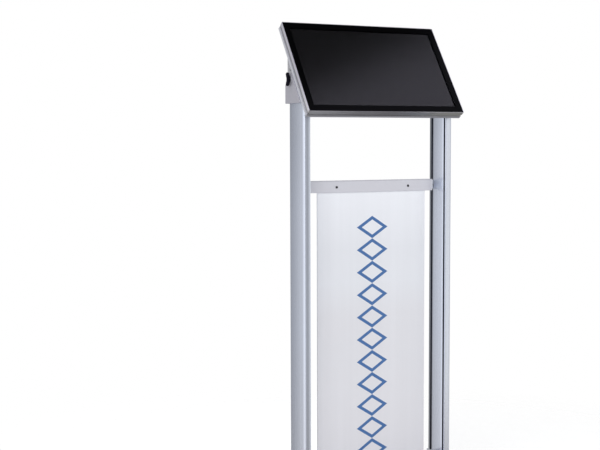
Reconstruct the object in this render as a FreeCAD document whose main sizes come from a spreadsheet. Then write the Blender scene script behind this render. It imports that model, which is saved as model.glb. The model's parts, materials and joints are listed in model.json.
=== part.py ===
import FreeCAD, Part
import math
import os

import Sketcher

# Digital signage stand: two deep extruded posts on a base plate, a crossbar pair that holds an
# information panel, and a leaning screen head that tilts between two brackets and is clamped by knobs.
# Frame: millimetres, X to the viewer's right, Y to the back, Z up, origin at the floor under the middle.

V = FreeCAD.Vector
SIDES = {"left": -1, "right": 1}


class Size:
    """A length or angle that carries its value and the formula that gives it from the sheet."""

    def __init__(self, value, text):
        self.value = float(value)
        self.text = text

    def joined(self, other, sign, value):
        return Size(value, "(%s %s %s)" % (self.text, sign, other.text))

    def __add__(self, other):
        other = sized(other)
        return self.joined(other, "+", self.value + other.value)

    def __radd__(self, other):
        return sized(other) + self

    def __sub__(self, other):
        other = sized(other)
        return self.joined(other, "-", self.value - other.value)

    def __rsub__(self, other):
        return sized(other) - self

    def __mul__(self, other):
        other = sized(other)
        return self.joined(other, "*", self.value * other.value)

    def __rmul__(self, other):
        return sized(other) * self

    def __truediv__(self, other):
        other = sized(other)
        return self.joined(other, "/", self.value / other.value)

    def __neg__(self):
        return Size(-self.value, "(0 - %s)" % self.text)


def sized(number):
    return number if isinstance(number, Size) else Size(number, "(%r)" % float(number))


def sine(angle):
    return Size(math.sin(math.radians(angle.value)), "sin(%s)" % angle.text)


def cosine(angle):
    return Size(math.cos(math.radians(angle.value)), "cos(%s)" % angle.text)


# Driving sizes: name, value, meaning
DRIVING_SIZES = [
    ("base_width", 560, "base plate across the stand"),
    ("base_depth", 420, "base plate front to back"),
    ("base_corner", 40, "corner radius of the base plate"),
    ("base_thick", 8, "steel base plate"),
    ("pad_height", 5, "rubber feet under the plate"),
    ("pad_radius", 22, "rubber feet"),
    ("pad_inset", 40, "centre of a rubber foot from the plate's sides"),
    ("counterbore_deep", 4.5, "screw head pockets under the plate"),
    ("foot_high", 40, "cast foot round the bottom of a post"),
    ("foot_half", 23, "half width of the cast foot"),
    ("foot_long", 73, "half length of the cast foot, front to back"),
    ("foot_screw_y", 58.5, "screws of the cast foot, front and back"),
    ("span", 253, "middle of the stand to the outer face of a post"),
    ("post_width", 22, "post across the stand"),
    ("post_depth", 94, "post front to back"),
    ("post_wall", 2, "wall of the extrusion"),
    ("post_top", 1255, "top end of a post above the floor"),
    ("post_round", 8, "outer front edge of a post"),
    ("lip_round", 1.6, "inner front edge of a post"),
    ("strip_round", 5, "inner rear edge of a post"),
    ("channel_deep", 9, "channel in the inner side of a post"),
    ("channel_lip", 2, "how far the channel widens behind its mouth"),
    ("front_mouth", 8.5, "mouth of the front channel"),
    ("rear_mouth", 10, "mouth of the rear channel"),
    ("front_strip", 4, "inner side before the front channel"),
    ("rear_strip", 12.1, "inner side behind the rear channel"),
    ("port_radius", 3.4, "screw ports along the post"),
    ("foot_hole", 4.2, "radius of the screw holes in the base plate"),
    ("pocket_radius", 7, "screw head pockets under the plate"),
    ("slot_hole", 2.7, "radius of the holes for slot, bar and tie rod screws"),
    ("panel_hole", 2.2, "radius of the holes for the panel screws"),
    ("ear_hole", 2.4, "radius of the holes for the ear screws"),
    ("cover_hole", 2.1, "radius of the holes for the cover screws"),
    ("shell_hole", 1.6, "radius of the holes for the shell screws"),
    ("bar_half", 210, "half length of a crossbar"),
    ("bar_high", 35, "crossbar"),
    ("bar_deep", 23.5, "crossbar front to back"),
    ("bar_front", -3.5, "front face of the crossbars"),
    ("bar_wall", 2, "walls round a crossbar's hollow"),
    ("bar_edge", 0.8, "bevel along a crossbar"),
    ("cap_thick", 1.5, "plastic cap on the end of a crossbar"),
    ("plug_long", 6.5, "plug of the cap inside the crossbar"),
    ("upper_bar", 951.7, "underside of the upper crossbar"),
    ("lower_bar", 95, "underside of the lower crossbar"),
    ("groove_deep", 24, "groove that holds the panel"),
    ("groove_gap", 0.2, "play on each side of the panel"),
    ("panel_half", 185.5, "half width of the information panel"),
    ("panel_thick", 4, "information panel"),
    ("panel_screw_x", 123, "panel screws from the middle"),
    ("bracket_thick", 4, "angle bracket between crossbar and post"),
    ("bracket_high", 28, "angle bracket"),
    ("bracket_reach", 22, "leg of the angle bracket, in from the crossbar's end"),
    ("bracket_screw", 12, "screw of that leg, in from the crossbar's end"),
    ("tilt", 34.6, "lean of the screen from upright, degrees"),
    ("glass_half", 259, "half width of the cover glass"),
    ("glass_high", 321, "cover glass from lower to upper edge"),
    ("glass_thick", 3.2, "cover glass"),
    ("glass_y", -100, "front lower edge of the glass, front to back"),
    ("glass_z", 1190, "front lower edge of the glass above the floor"),
    ("rim", 1.5, "frame edge round the glass"),
    ("frame_deep", 21.5, "front frame"),
    ("band_start", 12.5, "recessed band in the frame's side"),
    ("band_deep", 2, "how far the band is recessed"),
    ("head_deep", 31, "glass to the back of the rear shell"),
    ("shell_wall", 1.5, "back wall of the rear shell"),
    ("side_wall", 3, "edge of the glass to the hollow of frame and shell"),
    ("module_half", 248, "half width of the screen module"),
    ("module_low", 12.5, "lower edge of the screen module along the screen"),
    ("module_high", 304.5, "upper edge of the screen module"),
    ("module_layer", 6, "screen panel, and the light tray behind it"),
    ("speaker_x", 200, "middle of a speaker from the head's middle"),
    ("speaker_up", 43, "middle of a speaker along the screen"),
    ("cone_radius", 15, "speaker cone"),
    ("pivot_y", 34, "tilt axis, front to back"),
    ("pivot_z", 1284.6, "tilt axis above the floor"),
    ("pivot_hole", 4.08, "radius of the holes on the tilt axis"),
    ("eye_radius", 18, "rounded ends round the tilt axis"),
    ("plate_thick", 5, "cheek of the head bracket, and tilt ear"),
    ("cheek_foot", 1214.5, "lower edge of the head bracket"),
    ("cheek_rear", 66.5, "rear edge of the head bracket"),
    ("cheek_shoulder", 1264, "where the rear edge of the cheek turns in"),
    ("roof_thick", 4, "roof and walls of the head bracket"),
    ("ear_gap", 1, "cheek to ear, filled by the friction disc"),
    ("ear_rear", 61, "rear edge of the tilt ear"),
    ("ear_low", 120, "lower end of the ear's flange along the screen"),
    ("ear_high", 232, "upper end of the ear's flange along the screen"),
    ("flange_wide", 25, "flange of the tilt ear"),
    ("rod_y", 42, "tie rod between the ears, front to back"),
    ("rod_z", 1315, "tie rod above the floor"),
    ("stud_radius", 4, "clamp stud"),
    ("knob_half", 20, "half length of the wing knob"),
    ("knob_high", 9, "height of the knob's wing tips"),
    ("knob_scoop", 34.5, "radius of the hollow between the wing tips"),
    ("knob_deep", 6, "half thickness of the wings"),
    ("hub_radius", 6.5, "hub of the knob"),
    ("hub_high", 5, "hub of the knob"),
    ("knob_bore", 3.6, "depth of the stud in the knob"),
    ("knob_gap", 0.2, "washer to knob"),
    ("cover_half", 150, "half width of the service cover"),
    ("cover_low", 38, "lower wall of the service cover along the screen"),
    ("cover_high", 165, "upper wall of the service cover"),
    ("cover_deep", 16, "service cover behind the shell"),
    ("cover_wall", 1.5, "sheet of the service cover"),
    ("board_back", 35, "rear shell side of the main board from the glass"),
    ("board_thick", 1.6, "circuit boards"),
]


class Sizes:
    """The sheet's sizes by name."""


S = Sizes()
doc = FreeCAD.newDocument("signage_stand")


def fill_sheet():
    sheet = doc.addObject("Spreadsheet::Sheet", "sizes")
    for row, (name, value, meaning) in enumerate(DRIVING_SIZES, start=1):
        sheet.set("A%d" % row, name)
        sheet.set("B%d" % row, str(value))
        sheet.set("C%d" % row, meaning)
        sheet.setAlias("B%d" % row, name)
        setattr(S, name, Size(value, "sizes." + name))
    doc.recompute()


fill_sheet()

# Places worked out from the driving sizes
FLOOR_TOP = S.pad_height + S.base_thick
INNER = S.span - S.post_width
POST_FRONT = -S.post_depth / 2
POST_REAR = S.post_depth / 2
PORT_X = S.span - S.post_width / 2
CHANNEL_Y = POST_REAR - S.rear_strip - S.rear_mouth / 2
BAR_END = S.bar_half - S.cap_thick
BRACKET_SCREW_X = S.bar_half - S.bracket_screw
GROOVE_REAR = S.panel_thick + S.groove_gap
BAR_REAR = S.bar_front + S.bar_deep
CHEEK_OUT = S.span + S.plate_thick
EAR_OUT = S.span - S.ear_gap
EAR_IN = EAR_OUT - S.plate_thick
WASHER_THICK = sized(1.8)
DISC_THICK = sized(0.8)
KNOB_SEAT = CHEEK_OUT + WASHER_THICK + S.knob_gap
INSIDE_X = S.glass_half - S.side_wall
INSIDE_TOP = S.glass_high - S.side_wall
PORT_Y = [-12, 5.4]
USED_PORT_Y = PORT_Y[0]
FOOT_SCREW_LONG = 24
POST_SCREW_LONG = 30
FOOT_TAPER = 10
SLOT_SCREW_Z = [1228, 1246]


def head_point(up, back):
    """A point of the leaning head in the stand's YZ plane: up along the glass, back from its face."""
    y = S.glass_y + sized(up) * sine(S.tilt) + sized(back) * cosine(S.tilt)
    z = S.glass_z + sized(up) * cosine(S.tilt) - sized(back) * sine(S.tilt)
    return y, z


def lean_z(y, back):
    """Height at y of the line that runs parallel to the glass, the given distance behind it."""
    up = (sized(y) - S.glass_y - sized(back) * cosine(S.tilt)) / sine(S.tilt)
    return head_point(up, back)[1]


def lean_y(z, back):
    """Front to back place at height z of the line parallel to the glass."""
    up = (sized(z) - S.glass_z + sized(back) * sine(S.tilt)) / cosine(S.tilt)
    return head_point(up, back)[0]


# Sketch contents


class Outline:
    """A closed outline. Sides are straight, or arcs of the radius given for their first corner."""

    def __init__(self, corners, arcs=None):
        self.corners = [(sized(a), sized(b)) for a, b in corners]
        self.arcs = arcs or {}

    def side(self, index):
        here, there = self.corners[index], self.corners[(index + 1) % len(self.corners)]
        start, end = V(here[0].value, here[1].value, 0), V(there[0].value, there[1].value, 0)
        if index not in self.arcs:
            return Part.LineSegment(start, end)
        radius = sized(self.arcs[index]).value
        chord = end - start
        rise = abs(radius) - math.sqrt(radius ** 2 - (chord.Length / 2) ** 2)
        across = V(-chord.y, chord.x, 0).normalize() * math.copysign(rise, radius)
        return Part.Arc(start, (start + end) / 2 + across, end)

    def draw(self, sketch):
        count = len(self.corners)
        first = sketch.GeometryCount
        sketch.addGeometry([self.side(i) for i in range(count)], False)
        starts = []
        for i in range(count):
            corner = V(self.corners[i][0].value, self.corners[i][1].value, 0)
            at_start = sketch.getPoint(first + i, 1).distanceToPoint(corner) < 1e-6
            starts.append((1, 2) if at_start else (2, 1))
        joins = []
        for i in range(count):
            j = (i + 1) % count
            joins.append(Sketcher.Constraint("Coincident", first + i, starts[i][1], first + j, starts[j][0]))
        sketch.addConstraint(joins)
        for i, (a, b) in enumerate(self.corners):
            for kind, amount in (("DistanceX", a), ("DistanceY", b)):
                fixed(sketch, Sketcher.Constraint(kind, -1, 1, first + i, starts[i][0], amount.value), amount)
        for i, radius in self.arcs.items():
            length = sized(radius)
            if length.value < 0:
                length = -length
            fixed(sketch, Sketcher.Constraint("Radius", first + i, length.value), length)


class Circle:
    def __init__(self, a, b, radius):
        self.centre = (sized(a), sized(b))
        self.radius = sized(radius)

    def draw(self, sketch):
        index = sketch.GeometryCount
        centre = V(self.centre[0].value, self.centre[1].value, 0)
        sketch.addGeometry(Part.Circle(centre, V(0, 0, 1), self.radius.value), False)
        fixed(sketch, Sketcher.Constraint("Radius", index, self.radius.value), self.radius)
        for kind, amount in zip(("DistanceX", "DistanceY"), self.centre):
            fixed(sketch, Sketcher.Constraint(kind, -1, 1, index, 3, amount.value), amount)


def box(a0, a1, b0, b1):
    return Outline([(a0, b0), (a1, b0), (a1, b1), (a0, b1)])


def rounded(middle, half_a, half_b, radius):
    """Rounded rectangle about (middle, 0)."""
    a0, a1, b0, b1 = middle - half_a, middle + half_a, -sized(half_b), sized(half_b)
    corners = [(a0 + radius, b0), (a1 - radius, b0), (a1, b0 + radius), (a1, b1 - radius)]
    corners += [(a1 - radius, b1), (a0 + radius, b1), (a0, b1 - radius), (a0, b0 + radius)]
    return Outline(corners, {1: -radius, 3: -radius, 5: -radius, 7: -radius})


def bevelled(middle, half_a, half_b, corner):
    """Rectangle about (middle, 0) with its corners cut off."""
    outline = rounded(middle, half_a, half_b, corner)
    outline.arcs = {}
    return outline


def covered_hole(a, b, radius):
    """Hole that a screw's head covers, drawn with eight flats that touch its radius."""
    return polygon(8, sized(radius) / math.cos(math.radians(22.5)), a, b)


def fixed(sketch, constraint, amount):
    """Adds a dimension and ties it to the sheet."""
    index = sketch.addConstraint(constraint)
    sketch.setExpression("Constraints[%d]" % index, amount.text)


def span_of(side, near, far):
    """Lowest and highest X of a stretch given by its distances from the middle."""
    near, far = sized(near), sized(far)
    return (near, far) if side > 0 else (-far, -near)


# Bodies and features

SUB_PARTS = []


def new_body(name):
    body = doc.addObject("PartDesign::Body", name)
    body.Label = name
    SUB_PARTS.append(body)
    return body


def origin_item(body, role):
    return [item for item in body.Origin.OriginFeatures if item.Role == role][0]


def sketch_on(body, name, plane, offset, contents):
    sketch = body.newObject("Sketcher::SketchObject", name)
    sketch.AttachmentSupport = [(origin_item(body, plane + "_Plane"), "")]
    sketch.MapMode = "FlatFace"
    sketch.AttachmentOffset = FreeCAD.Placement(V(0, 0, offset.value), FreeCAD.Rotation())
    sketch.setExpression("AttachmentOffset.Base.z", offset.text)
    for item in contents:
        item.draw(sketch)
    return sketch


def prism(body, name, plane, low, high, *contents):
    """Adds the outlines between two places along the axis across the plane."""
    low, high = sized(low), sized(high)
    offset = -high if plane == "XZ" else low
    pad = body.newObject("PartDesign::Pad", name)
    pad.Profile = sketch_on(body, name + "_sketch", plane, offset, contents)
    pad.Length = high.value - low.value
    pad.setExpression("Length", (high - low).text)
    doc.recompute()
    return pad


def cut(body, name, plane, low, high, *contents):
    """Cuts the outlines between two places along the axis across the plane."""
    low, high = sized(low), sized(high)
    before = body.Shape.Volume
    offset = -low if plane == "XZ" else high
    pocket = body.newObject("PartDesign::Pocket", name)
    pocket.Profile = sketch_on(body, name + "_sketch", plane, offset, contents)
    pocket.Length = high.value - low.value
    pocket.setExpression("Length", (high - low).text)
    doc.recompute()
    if body.Shape.Volume > before - 1e-3:
        raise RuntimeError("%s of %s removes nothing" % (name, body.Label))
    return pocket


def turned(body, name, corners, arcs=None):
    """A solid of revolution about the local Z axis; corners are (radius, height)."""
    profile = sketch_on(body, name + "_sketch", "XZ", sized(0), [Outline(corners, arcs)])
    revolution = body.newObject("PartDesign::Revolution", name)
    revolution.Profile = profile
    revolution.ReferenceAxis = (profile, ["V_Axis"])
    revolution.Angle = 360
    doc.recompute()
    return revolution


def edges_where(body, test):
    return ["Edge%d" % (i + 1) for i, edge in enumerate(body.Shape.Edges) if test(edge)]


def dressed(body, name, kind, radius, test):
    """A fillet or chamfer on the edges that pass the test."""
    radius = sized(radius)
    names = edges_where(body, test)
    if not names:
        raise RuntimeError("%s of %s finds no edge" % (name, body.Label))
    base = body.Tip
    feature = body.newObject("PartDesign::" + kind, name)
    feature.Base = (base, names)
    field = "Radius" if kind == "Fillet" else "Size"
    setattr(feature, field, radius.value)
    feature.setExpression(field, radius.text)
    doc.recompute()
    return feature


def along(axis):
    """Edges that run along an axis: 0, 1 or 2 for X, Y or Z."""
    def test(edge):
        if len(edge.Vertexes) < 2:
            return False
        direction = edge.Vertexes[1].Point - edge.Vertexes[0].Point
        return direction.Length > 1e-6 and abs(direction[axis]) > direction.Length * 0.999999
    return test


def along_at(axis, *places):
    """Edges along an axis that pass through one of the given places on the other two axes."""
    runs = along(axis)
    others = [k for k in range(3) if k != axis]

    def test(edge):
        if not runs(edge):
            return False
        point = edge.Vertexes[0].Point
        for a, b in places:
            gap = max(abs(point[others[0]] - sized(a).value), abs(point[others[1]] - sized(b).value))
            if gap < 1e-3:
                return True
        return False
    return test


def in_plane(axis, place):
    """Edges that lie in the plane across an axis at the given place."""
    place = sized(place).value

    def test(edge):
        low, high = edge.BoundBox, edge.BoundBox
        ends = ((low.XMin, high.XMax), (low.YMin, high.YMax), (low.ZMin, high.ZMax))[axis]
        return abs(ends[0] - place) < 1e-3 and abs(ends[1] - place) < 1e-3
    return test


def row(body, name, feature, axis, length, count):
    """Repeats a feature along an axis of the body, ending the given length away."""
    length = sized(length)
    before = body.Shape.Volume
    pattern = body.newObject("PartDesign::LinearPattern", name)
    pattern.Originals = [feature]
    pattern.Direction = (origin_item(body, axis + "_Axis"), [""])
    pattern.Length = length.value
    pattern.setExpression("Length", length.text)
    pattern.Occurrences = count
    body.Tip = pattern
    doc.recompute()
    if abs(body.Shape.Volume - before) < 1e-3:
        raise RuntimeError("%s of %s repeats nothing" % (name, body.Label))
    return pattern


def set_on_head(body):
    """Places a piece drawn upright in the head's own frame: X across, Y back, Z up along the glass."""
    lean = FreeCAD.Rotation(V(-1, 0, 0), S.tilt.value)
    body.Placement = FreeCAD.Placement(V(0, S.glass_y.value, S.glass_z.value), lean)
    body.setExpression("Placement.Rotation.Angle", S.tilt.text)
    body.setExpression("Placement.Base.y", S.glass_y.text)
    body.setExpression("Placement.Base.z", S.glass_z.text)
    doc.recompute()


def pattern_piece(name):
    """A body that is only copied into groups, not a sub-part of its own."""
    body = doc.addObject("PartDesign::Body", name)
    body.Label = name
    return body


def group(name, master, placements):
    """Identical pieces as separate solids of one sub-part."""
    feature = doc.addObject("Part::Feature", name)
    feature.Label = name
    copies = []
    for placement in placements:
        copy = master.Shape.copy()
        copy.Placement = placement.multiply(copy.Placement)
        copies.append(copy)
    feature.Shape = Part.makeCompound([solid for copy in copies for solid in copy.Solids])
    SUB_PARTS.append(feature)
    return feature


def pointing(direction, x, y, z):
    """Placement that turns the local Z axis along a direction and moves the origin to a point."""
    place = V(sized(x).value, sized(y).value, sized(z).value)
    return FreeCAD.Placement(place, FreeCAD.Rotation(V(0, 0, 1), direction))


def head_placement():
    lean = FreeCAD.Rotation(V(-1, 0, 0), S.tilt.value)
    return FreeCAD.Placement(V(0, S.glass_y.value, S.glass_z.value), lean)


def polygon(count, radius, a=0, b=0):
    """Regular outline about (a, b), for repeated small pieces that keep few faces."""
    turns = [360 * k / count for k in range(count)]
    radius = sized(radius)
    corners = [(a + radius * math.cos(math.radians(turn)), b + radius * math.sin(math.radians(turn)))
               for turn in turns]
    return Outline(corners)


def screw(name, head_radius, head_high, shank_radius, shank_long):
    """Screw with few faces: the seat of the head is at height 0 and the shank points down."""
    body = pattern_piece(name)
    prism(body, "head", "XY", 0, head_high, polygon(12, head_radius))
    prism(body, "shank", "XY", -shank_long, 0, polygon(6, shank_radius))
    return body


# Base

def base_plate():
    body = new_body("base_plate")
    half_x, half_y = S.base_width / 2, S.base_depth / 2
    prism(body, "plate", "XY", S.pad_height, FLOOR_TOP, box(-half_x, half_x, -half_y, half_y))
    dressed(body, "corners", "Fillet", S.base_corner, along(2))
    dressed(body, "upper_edge", "Chamfer", 1.5, in_plane(2, FLOOR_TOP))
    screw_places = [(side * PORT_X, y) for side in SIDES.values() for y in screw_rows()]
    holes = [covered_hole(x, y, S.foot_hole) for x, y in screw_places]
    pockets = [Circle(x, y, S.pocket_radius) for x, y in screw_places]
    cut(body, "screw_holes", "XY", S.pad_height, FLOOR_TOP, *holes)
    cut(body, "head_pockets", "XY", S.pad_height, S.pad_height + S.counterbore_deep, *pockets)


def screw_rows():
    """Places front to back of the three screws under each post: foot, port, foot."""
    return [-S.foot_screw_y, sized(USED_PORT_Y), S.foot_screw_y]


def rubber_feet():
    master = pattern_piece("foot_pad")
    prism(master, "pad", "XY", 0, S.pad_height, Circle(0, 0, S.pad_radius))
    x, y = S.base_width / 2 - S.pad_inset, S.base_depth / 2 - S.pad_inset
    group("rubber_feet", master, [pointing(V(0, 0, 1), a * x, b * y, 0) for a in (-1, 1) for b in (-1, 1)])


def base_screws():
    seat = S.pad_height + S.counterbore_deep
    masters = {"foot": screw("foot_screw", 6.5, 4, 4, FOOT_SCREW_LONG)}
    masters["post"] = screw("post_screw", 6.5, 4, 3.3, POST_SCREW_LONG)
    down = V(0, 0, -1)
    solids = []
    for side in SIDES.values():
        for kind, y in zip(("foot", "post", "foot"), screw_rows()):
            copy = masters[kind].Shape.copy()
            copy.Placement = pointing(down, side * PORT_X, y, seat)
            solids += copy.Solids
    feature = doc.addObject("Part::Feature", "base_screws")
    feature.Label = "base_screws"
    feature.Shape = Part.makeCompound(solids)
    SUB_PARTS.append(feature)


def post_foot(name, side):
    """Cast foot that tapers up round the post, with a socket for the post's section."""
    body = new_body("post_foot_" + name)
    top = FLOOR_TOP + S.foot_high
    centre = side * PORT_X
    foot = prism(body, "foot", "XY", FLOOR_TOP, top, bevelled(centre, S.foot_half, S.foot_long, 10))
    foot.TaperAngle = -FOOT_TAPER
    doc.recompute()
    dressed(body, "foot_rim", "Chamfer", 1.5, in_plane(2, top))
    near, far = span_of(side, INNER - 0.2, S.span + 0.2)
    socket = box(near, far, POST_FRONT - 0.2, POST_REAR + 0.2)
    cut(body, "socket", "XY", FLOOR_TOP, top, socket)
    threads = [covered_hole(centre, y, 4.1) for y in (-S.foot_screw_y, S.foot_screw_y)]
    cut(body, "threads", "XY", FLOOR_TOP, FLOOR_TOP + 22, *threads)


# Posts

def post(name, side):
    """Deep hollow extrusion with two channels in its inner side and a mitred top."""
    body = new_body("post_" + name)

    def at(depth, y):
        return side * (S.span - sized(depth)), sized(y)

    width, lip, deep = S.post_width, S.channel_lip, S.post_width - S.channel_deep
    front_low = POST_FRONT + S.front_strip
    front_high = front_low + S.front_mouth
    rear_high = POST_REAR - S.rear_strip
    rear_low = rear_high - S.rear_mouth
    section = [at(width, POST_FRONT), at(width, front_low), at(deep, front_low)]
    section += [at(deep, front_high + lip), at(width - lip, front_high + lip)]
    section += [at(width - lip, front_high), at(width, front_high)]
    section += [at(width, rear_low), at(width - lip, rear_low), at(width - lip, rear_low - lip)]
    section += [at(deep, rear_low - lip), at(deep, rear_high + lip), at(width - lip, rear_high + lip)]
    section += [at(width - lip, rear_high), at(width, rear_high)]
    section += [at(width, POST_REAR), at(0, POST_REAR), at(0, POST_FRONT)]
    prism(body, "section", "XY", FLOOR_TOP, S.post_top, Outline(section))
    outer = side * S.span
    dressed(body, "front_round", "Fillet", S.post_round, along_at(2, (outer, POST_FRONT)))
    dressed(body, "rear_round", "Fillet", 3, along_at(2, (outer, POST_REAR)))
    inner = side * INNER
    dressed(body, "lip_round", "Fillet", S.lip_round, along_at(2, (inner, POST_FRONT)))
    dressed(body, "strip_round", "Fillet", S.strip_round, along_at(2, (inner, POST_REAR)))

    wall, web = S.post_wall, 5
    back = deep - wall
    chamber_ends = [PORT_Y[0] - web, PORT_Y[0] + web, PORT_Y[1] - web, PORT_Y[1] + web]
    front = [at(wall, POST_FRONT + 6), at(6, POST_FRONT + wall), at(back, POST_FRONT + wall)]
    front += [at(back, front_high + lip + wall), at(width - wall, front_high + lip + wall)]
    front += [at(width - wall, chamber_ends[0]), at(wall, chamber_ends[0])]
    middle = [at(wall, chamber_ends[1]), at(width - wall, chamber_ends[1])]
    middle += [at(width - wall, chamber_ends[2]), at(wall, chamber_ends[2])]
    rear = [at(wall, chamber_ends[3]), at(width - wall, chamber_ends[3])]
    rear += [at(width - wall, rear_low - lip - wall), at(back, rear_low - lip - wall)]
    rear += [at(back, rear_high + lip + wall), at(width - wall, rear_high + lip + wall)]
    rear += [at(width - wall, POST_REAR - 5), at(width - 5, POST_REAR - wall)]
    rear += [at(4, POST_REAR - wall), at(wall, POST_REAR - 4)]
    cut(body, "chambers", "XY", FLOOR_TOP, S.post_top, Outline(front), Outline(middle), Outline(rear))
    ports = [Circle(side * PORT_X, y, S.port_radius) for y in PORT_Y]
    cut(body, "ports", "XY", FLOOR_TOP, S.post_top, *ports)

    clear = S.head_deep + 3
    ahead, above = POST_FRONT - 1, S.post_top + 1
    mitre = Outline([(ahead, lean_z(ahead, clear)), (lean_y(above, clear), above), (ahead, above)])
    near, far = span_of(side, INNER - 1, S.span + 1)
    cut(body, "mitre", "YZ", near, far, mitre)


# Crossbars, their brackets and the information panel

def crossbar(name, bottom, groove_from_top):
    body = new_body(name)
    top = bottom + S.bar_high
    front, rear = S.bar_front, BAR_REAR
    prism(body, "bar", "YZ", -BAR_END, BAR_END, box(front, rear, bottom, top))
    long_edges = along_at(0, (front, bottom), (front, top), (rear, bottom), (rear, top))
    dressed(body, "bar_edges", "Chamfer", S.bar_edge, long_edges)
    slot_front, slot_rear = -S.groove_gap, GROOVE_REAR
    if groove_from_top:
        slot = box(slot_front, slot_rear, top - S.groove_deep, top)
    else:
        slot = box(slot_front, slot_rear, bottom, bottom + S.groove_deep)
    cut(body, "groove", "YZ", -BAR_END, BAR_END, slot)
    cut(body, "hollow", "YZ", -BAR_END, BAR_END, bar_hollow(bottom, 0))
    height = screw_height(bottom, groove_from_top)
    fronts = [covered_hole(side * S.panel_screw_x, height, S.panel_hole) for side in SIDES.values()]
    cut(body, "panel_holes", "XZ", front, slot_front, *fronts)
    middle = bottom + S.bar_high / 2
    rears = [covered_hole(side * BRACKET_SCREW_X, middle, S.slot_hole) for side in SIDES.values()]
    cut(body, "bracket_holes", "XZ", rear - S.bar_wall, rear, *rears)


def bar_hollow(bottom, play):
    """Section of a crossbar's hollow, or of a plug with that play all round."""
    wall = S.bar_wall + play
    return box(GROOVE_REAR + wall, BAR_REAR - wall, bottom + wall, bottom + S.bar_high - wall)


def bar_end_cap(level, name, bottom):
    """Plastic cap on the end of a crossbar, with a plug in the bar's hollow."""
    side = SIDES[name]
    body = new_body("bar_end_cap_%s_%s" % (level, name))
    near, far = span_of(side, BAR_END, S.bar_half)
    prism(body, "plate", "YZ", near, far, box(S.bar_front, BAR_REAR, bottom, bottom + S.bar_high))
    dressed(body, "plate_corners", "Chamfer", S.bar_edge, along(0))
    near, far = span_of(side, BAR_END - S.plug_long, BAR_END)
    prism(body, "plug", "YZ", near, far, bar_hollow(bottom, 0.15))


def screw_height(bottom, groove_from_top):
    """Height of the panel screws, set into the groove's part of the bar."""
    middle = bottom + S.bar_high / 2
    return middle + 1.7 if groove_from_top else middle - 1.7


def info_panel():
    body = new_body("info_panel")
    low = S.lower_bar + S.bar_high - S.groove_deep
    high = S.upper_bar + S.groove_deep - 0.6
    prism(body, "sheet", "XZ", 0, S.panel_thick, box(-S.panel_half, S.panel_half, low, high))
    heights = [screw_height(S.upper_bar, False), screw_height(S.lower_bar, True)]
    places = [(side * S.panel_screw_x, z) for side in SIDES.values() for z in heights]
    holes = [covered_hole(x, z, S.panel_hole) for x, z in places]
    cut(body, "screw_holes", "XZ", 0, S.panel_thick, *holes)


def panel_screws():
    master = screw("panel_screw", 3.6, 2.2, 2, 7.5)
    heights = [screw_height(S.upper_bar, False), screw_height(S.lower_bar, True)]
    forward = V(0, -1, 0)
    places = [pointing(forward, side * S.panel_screw_x, S.bar_front, z)
              for side in SIDES.values() for z in heights]
    group("panel_screws", master, places)


def slot_bracket(level, name, bottom):
    """Angle bracket: one leg on the crossbar's back, the other over the post's rear channel."""
    side = SIDES[name]
    body = new_body("slot_bracket_%s_%s" % (level, name))
    thick = S.bracket_thick
    inner, rear = INNER, BAR_REAR
    legs = [(side * inner, rear), (side * inner, POST_REAR), (side * (inner - thick), POST_REAR)]
    legs += [(side * (inner - thick), rear + thick), (side * (S.bar_half - S.bracket_reach), rear + thick)]
    legs += [(side * (S.bar_half - S.bracket_reach), rear)]
    middle = bottom + S.bar_high / 2
    low, high = middle - S.bracket_high / 2, middle + S.bracket_high / 2
    prism(body, "angle", "XY", low, high, Outline(legs))
    dressed(body, "bend", "Chamfer", 1, along_at(2, (side * (inner - thick), rear + thick)))
    dressed(body, "outer_bend", "Chamfer", 2, along_at(2, (side * inner, rear)))
    ends = [(side * (S.bar_half - S.bracket_reach), z) for z in (low, high)]
    dressed(body, "leg_ends", "Chamfer", 5, along_at(1, *ends))
    cut(body, "bar_hole", "XZ", rear, rear + thick, covered_hole(side * BRACKET_SCREW_X, middle, S.slot_hole))
    near, far = span_of(side, inner - thick, inner)
    cut(body, "slot_hole", "YZ", near, far, covered_hole(CHANNEL_Y, middle, S.slot_hole))


def crossbar_screws():
    master = screw("crossbar_screw", 4.7, 2.7, 2.5, 12)
    places = []
    for bottom in (S.upper_bar, S.lower_bar):
        for side in SIDES.values():
            middle = bottom + S.bar_high / 2
            places.append(pointing(V(0, 1, 0), side * BRACKET_SCREW_X, BAR_REAR + S.bracket_thick, middle))
    group("crossbar_screws", master, places)


def slot_heights():
    """Heights of the screws in the rear channels: both crossbars, then the head bracket."""
    bars = [bottom + S.bar_high / 2 for bottom in (S.lower_bar, S.upper_bar)]
    return bars + [sized(z) for z in SLOT_SCREW_Z]


def slot_screws():
    master = screw("slot_screw", 4.7, 2.7, 2.5, 10)
    places = []
    for side in SIDES.values():
        seat = side * (INNER - S.bracket_thick)
        places += [pointing(V(-side, 0, 0), seat, CHANNEL_Y, z) for z in slot_heights()]
    group("slot_screws", master, places)


def slot_nuts():
    """Nuts that sit behind the channel's lips, drawn for the right post with the mouth at X 0."""
    master = pattern_piece("slot_nut")
    lip, half_mouth = S.channel_lip, S.rear_mouth / 2
    neck, wide, deep = half_mouth - 0.3, half_mouth + 1.7, lip + 5.5
    ends = [(0.4, -neck), (lip, -neck), (lip, -wide), (deep, -wide)]
    section = ends + [(x, -y) for x, y in reversed(ends)]
    prism(master, "nut", "XY", -7, 7, Outline(section))
    cut(master, "thread", "YZ", 0.4, deep, polygon(6, 2.9))
    places = []
    for side in SIDES.values():
        turn = FreeCAD.Rotation(V(0, 0, 1), 0 if side > 0 else 180)
        for z in slot_heights():
            place = V(side * INNER.value, CHANNEL_Y.value, z.value)
            places.append(FreeCAD.Placement(place, turn))
    group("slot_nuts", master, places)


# Head bracket, tilt clamp and ears

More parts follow.
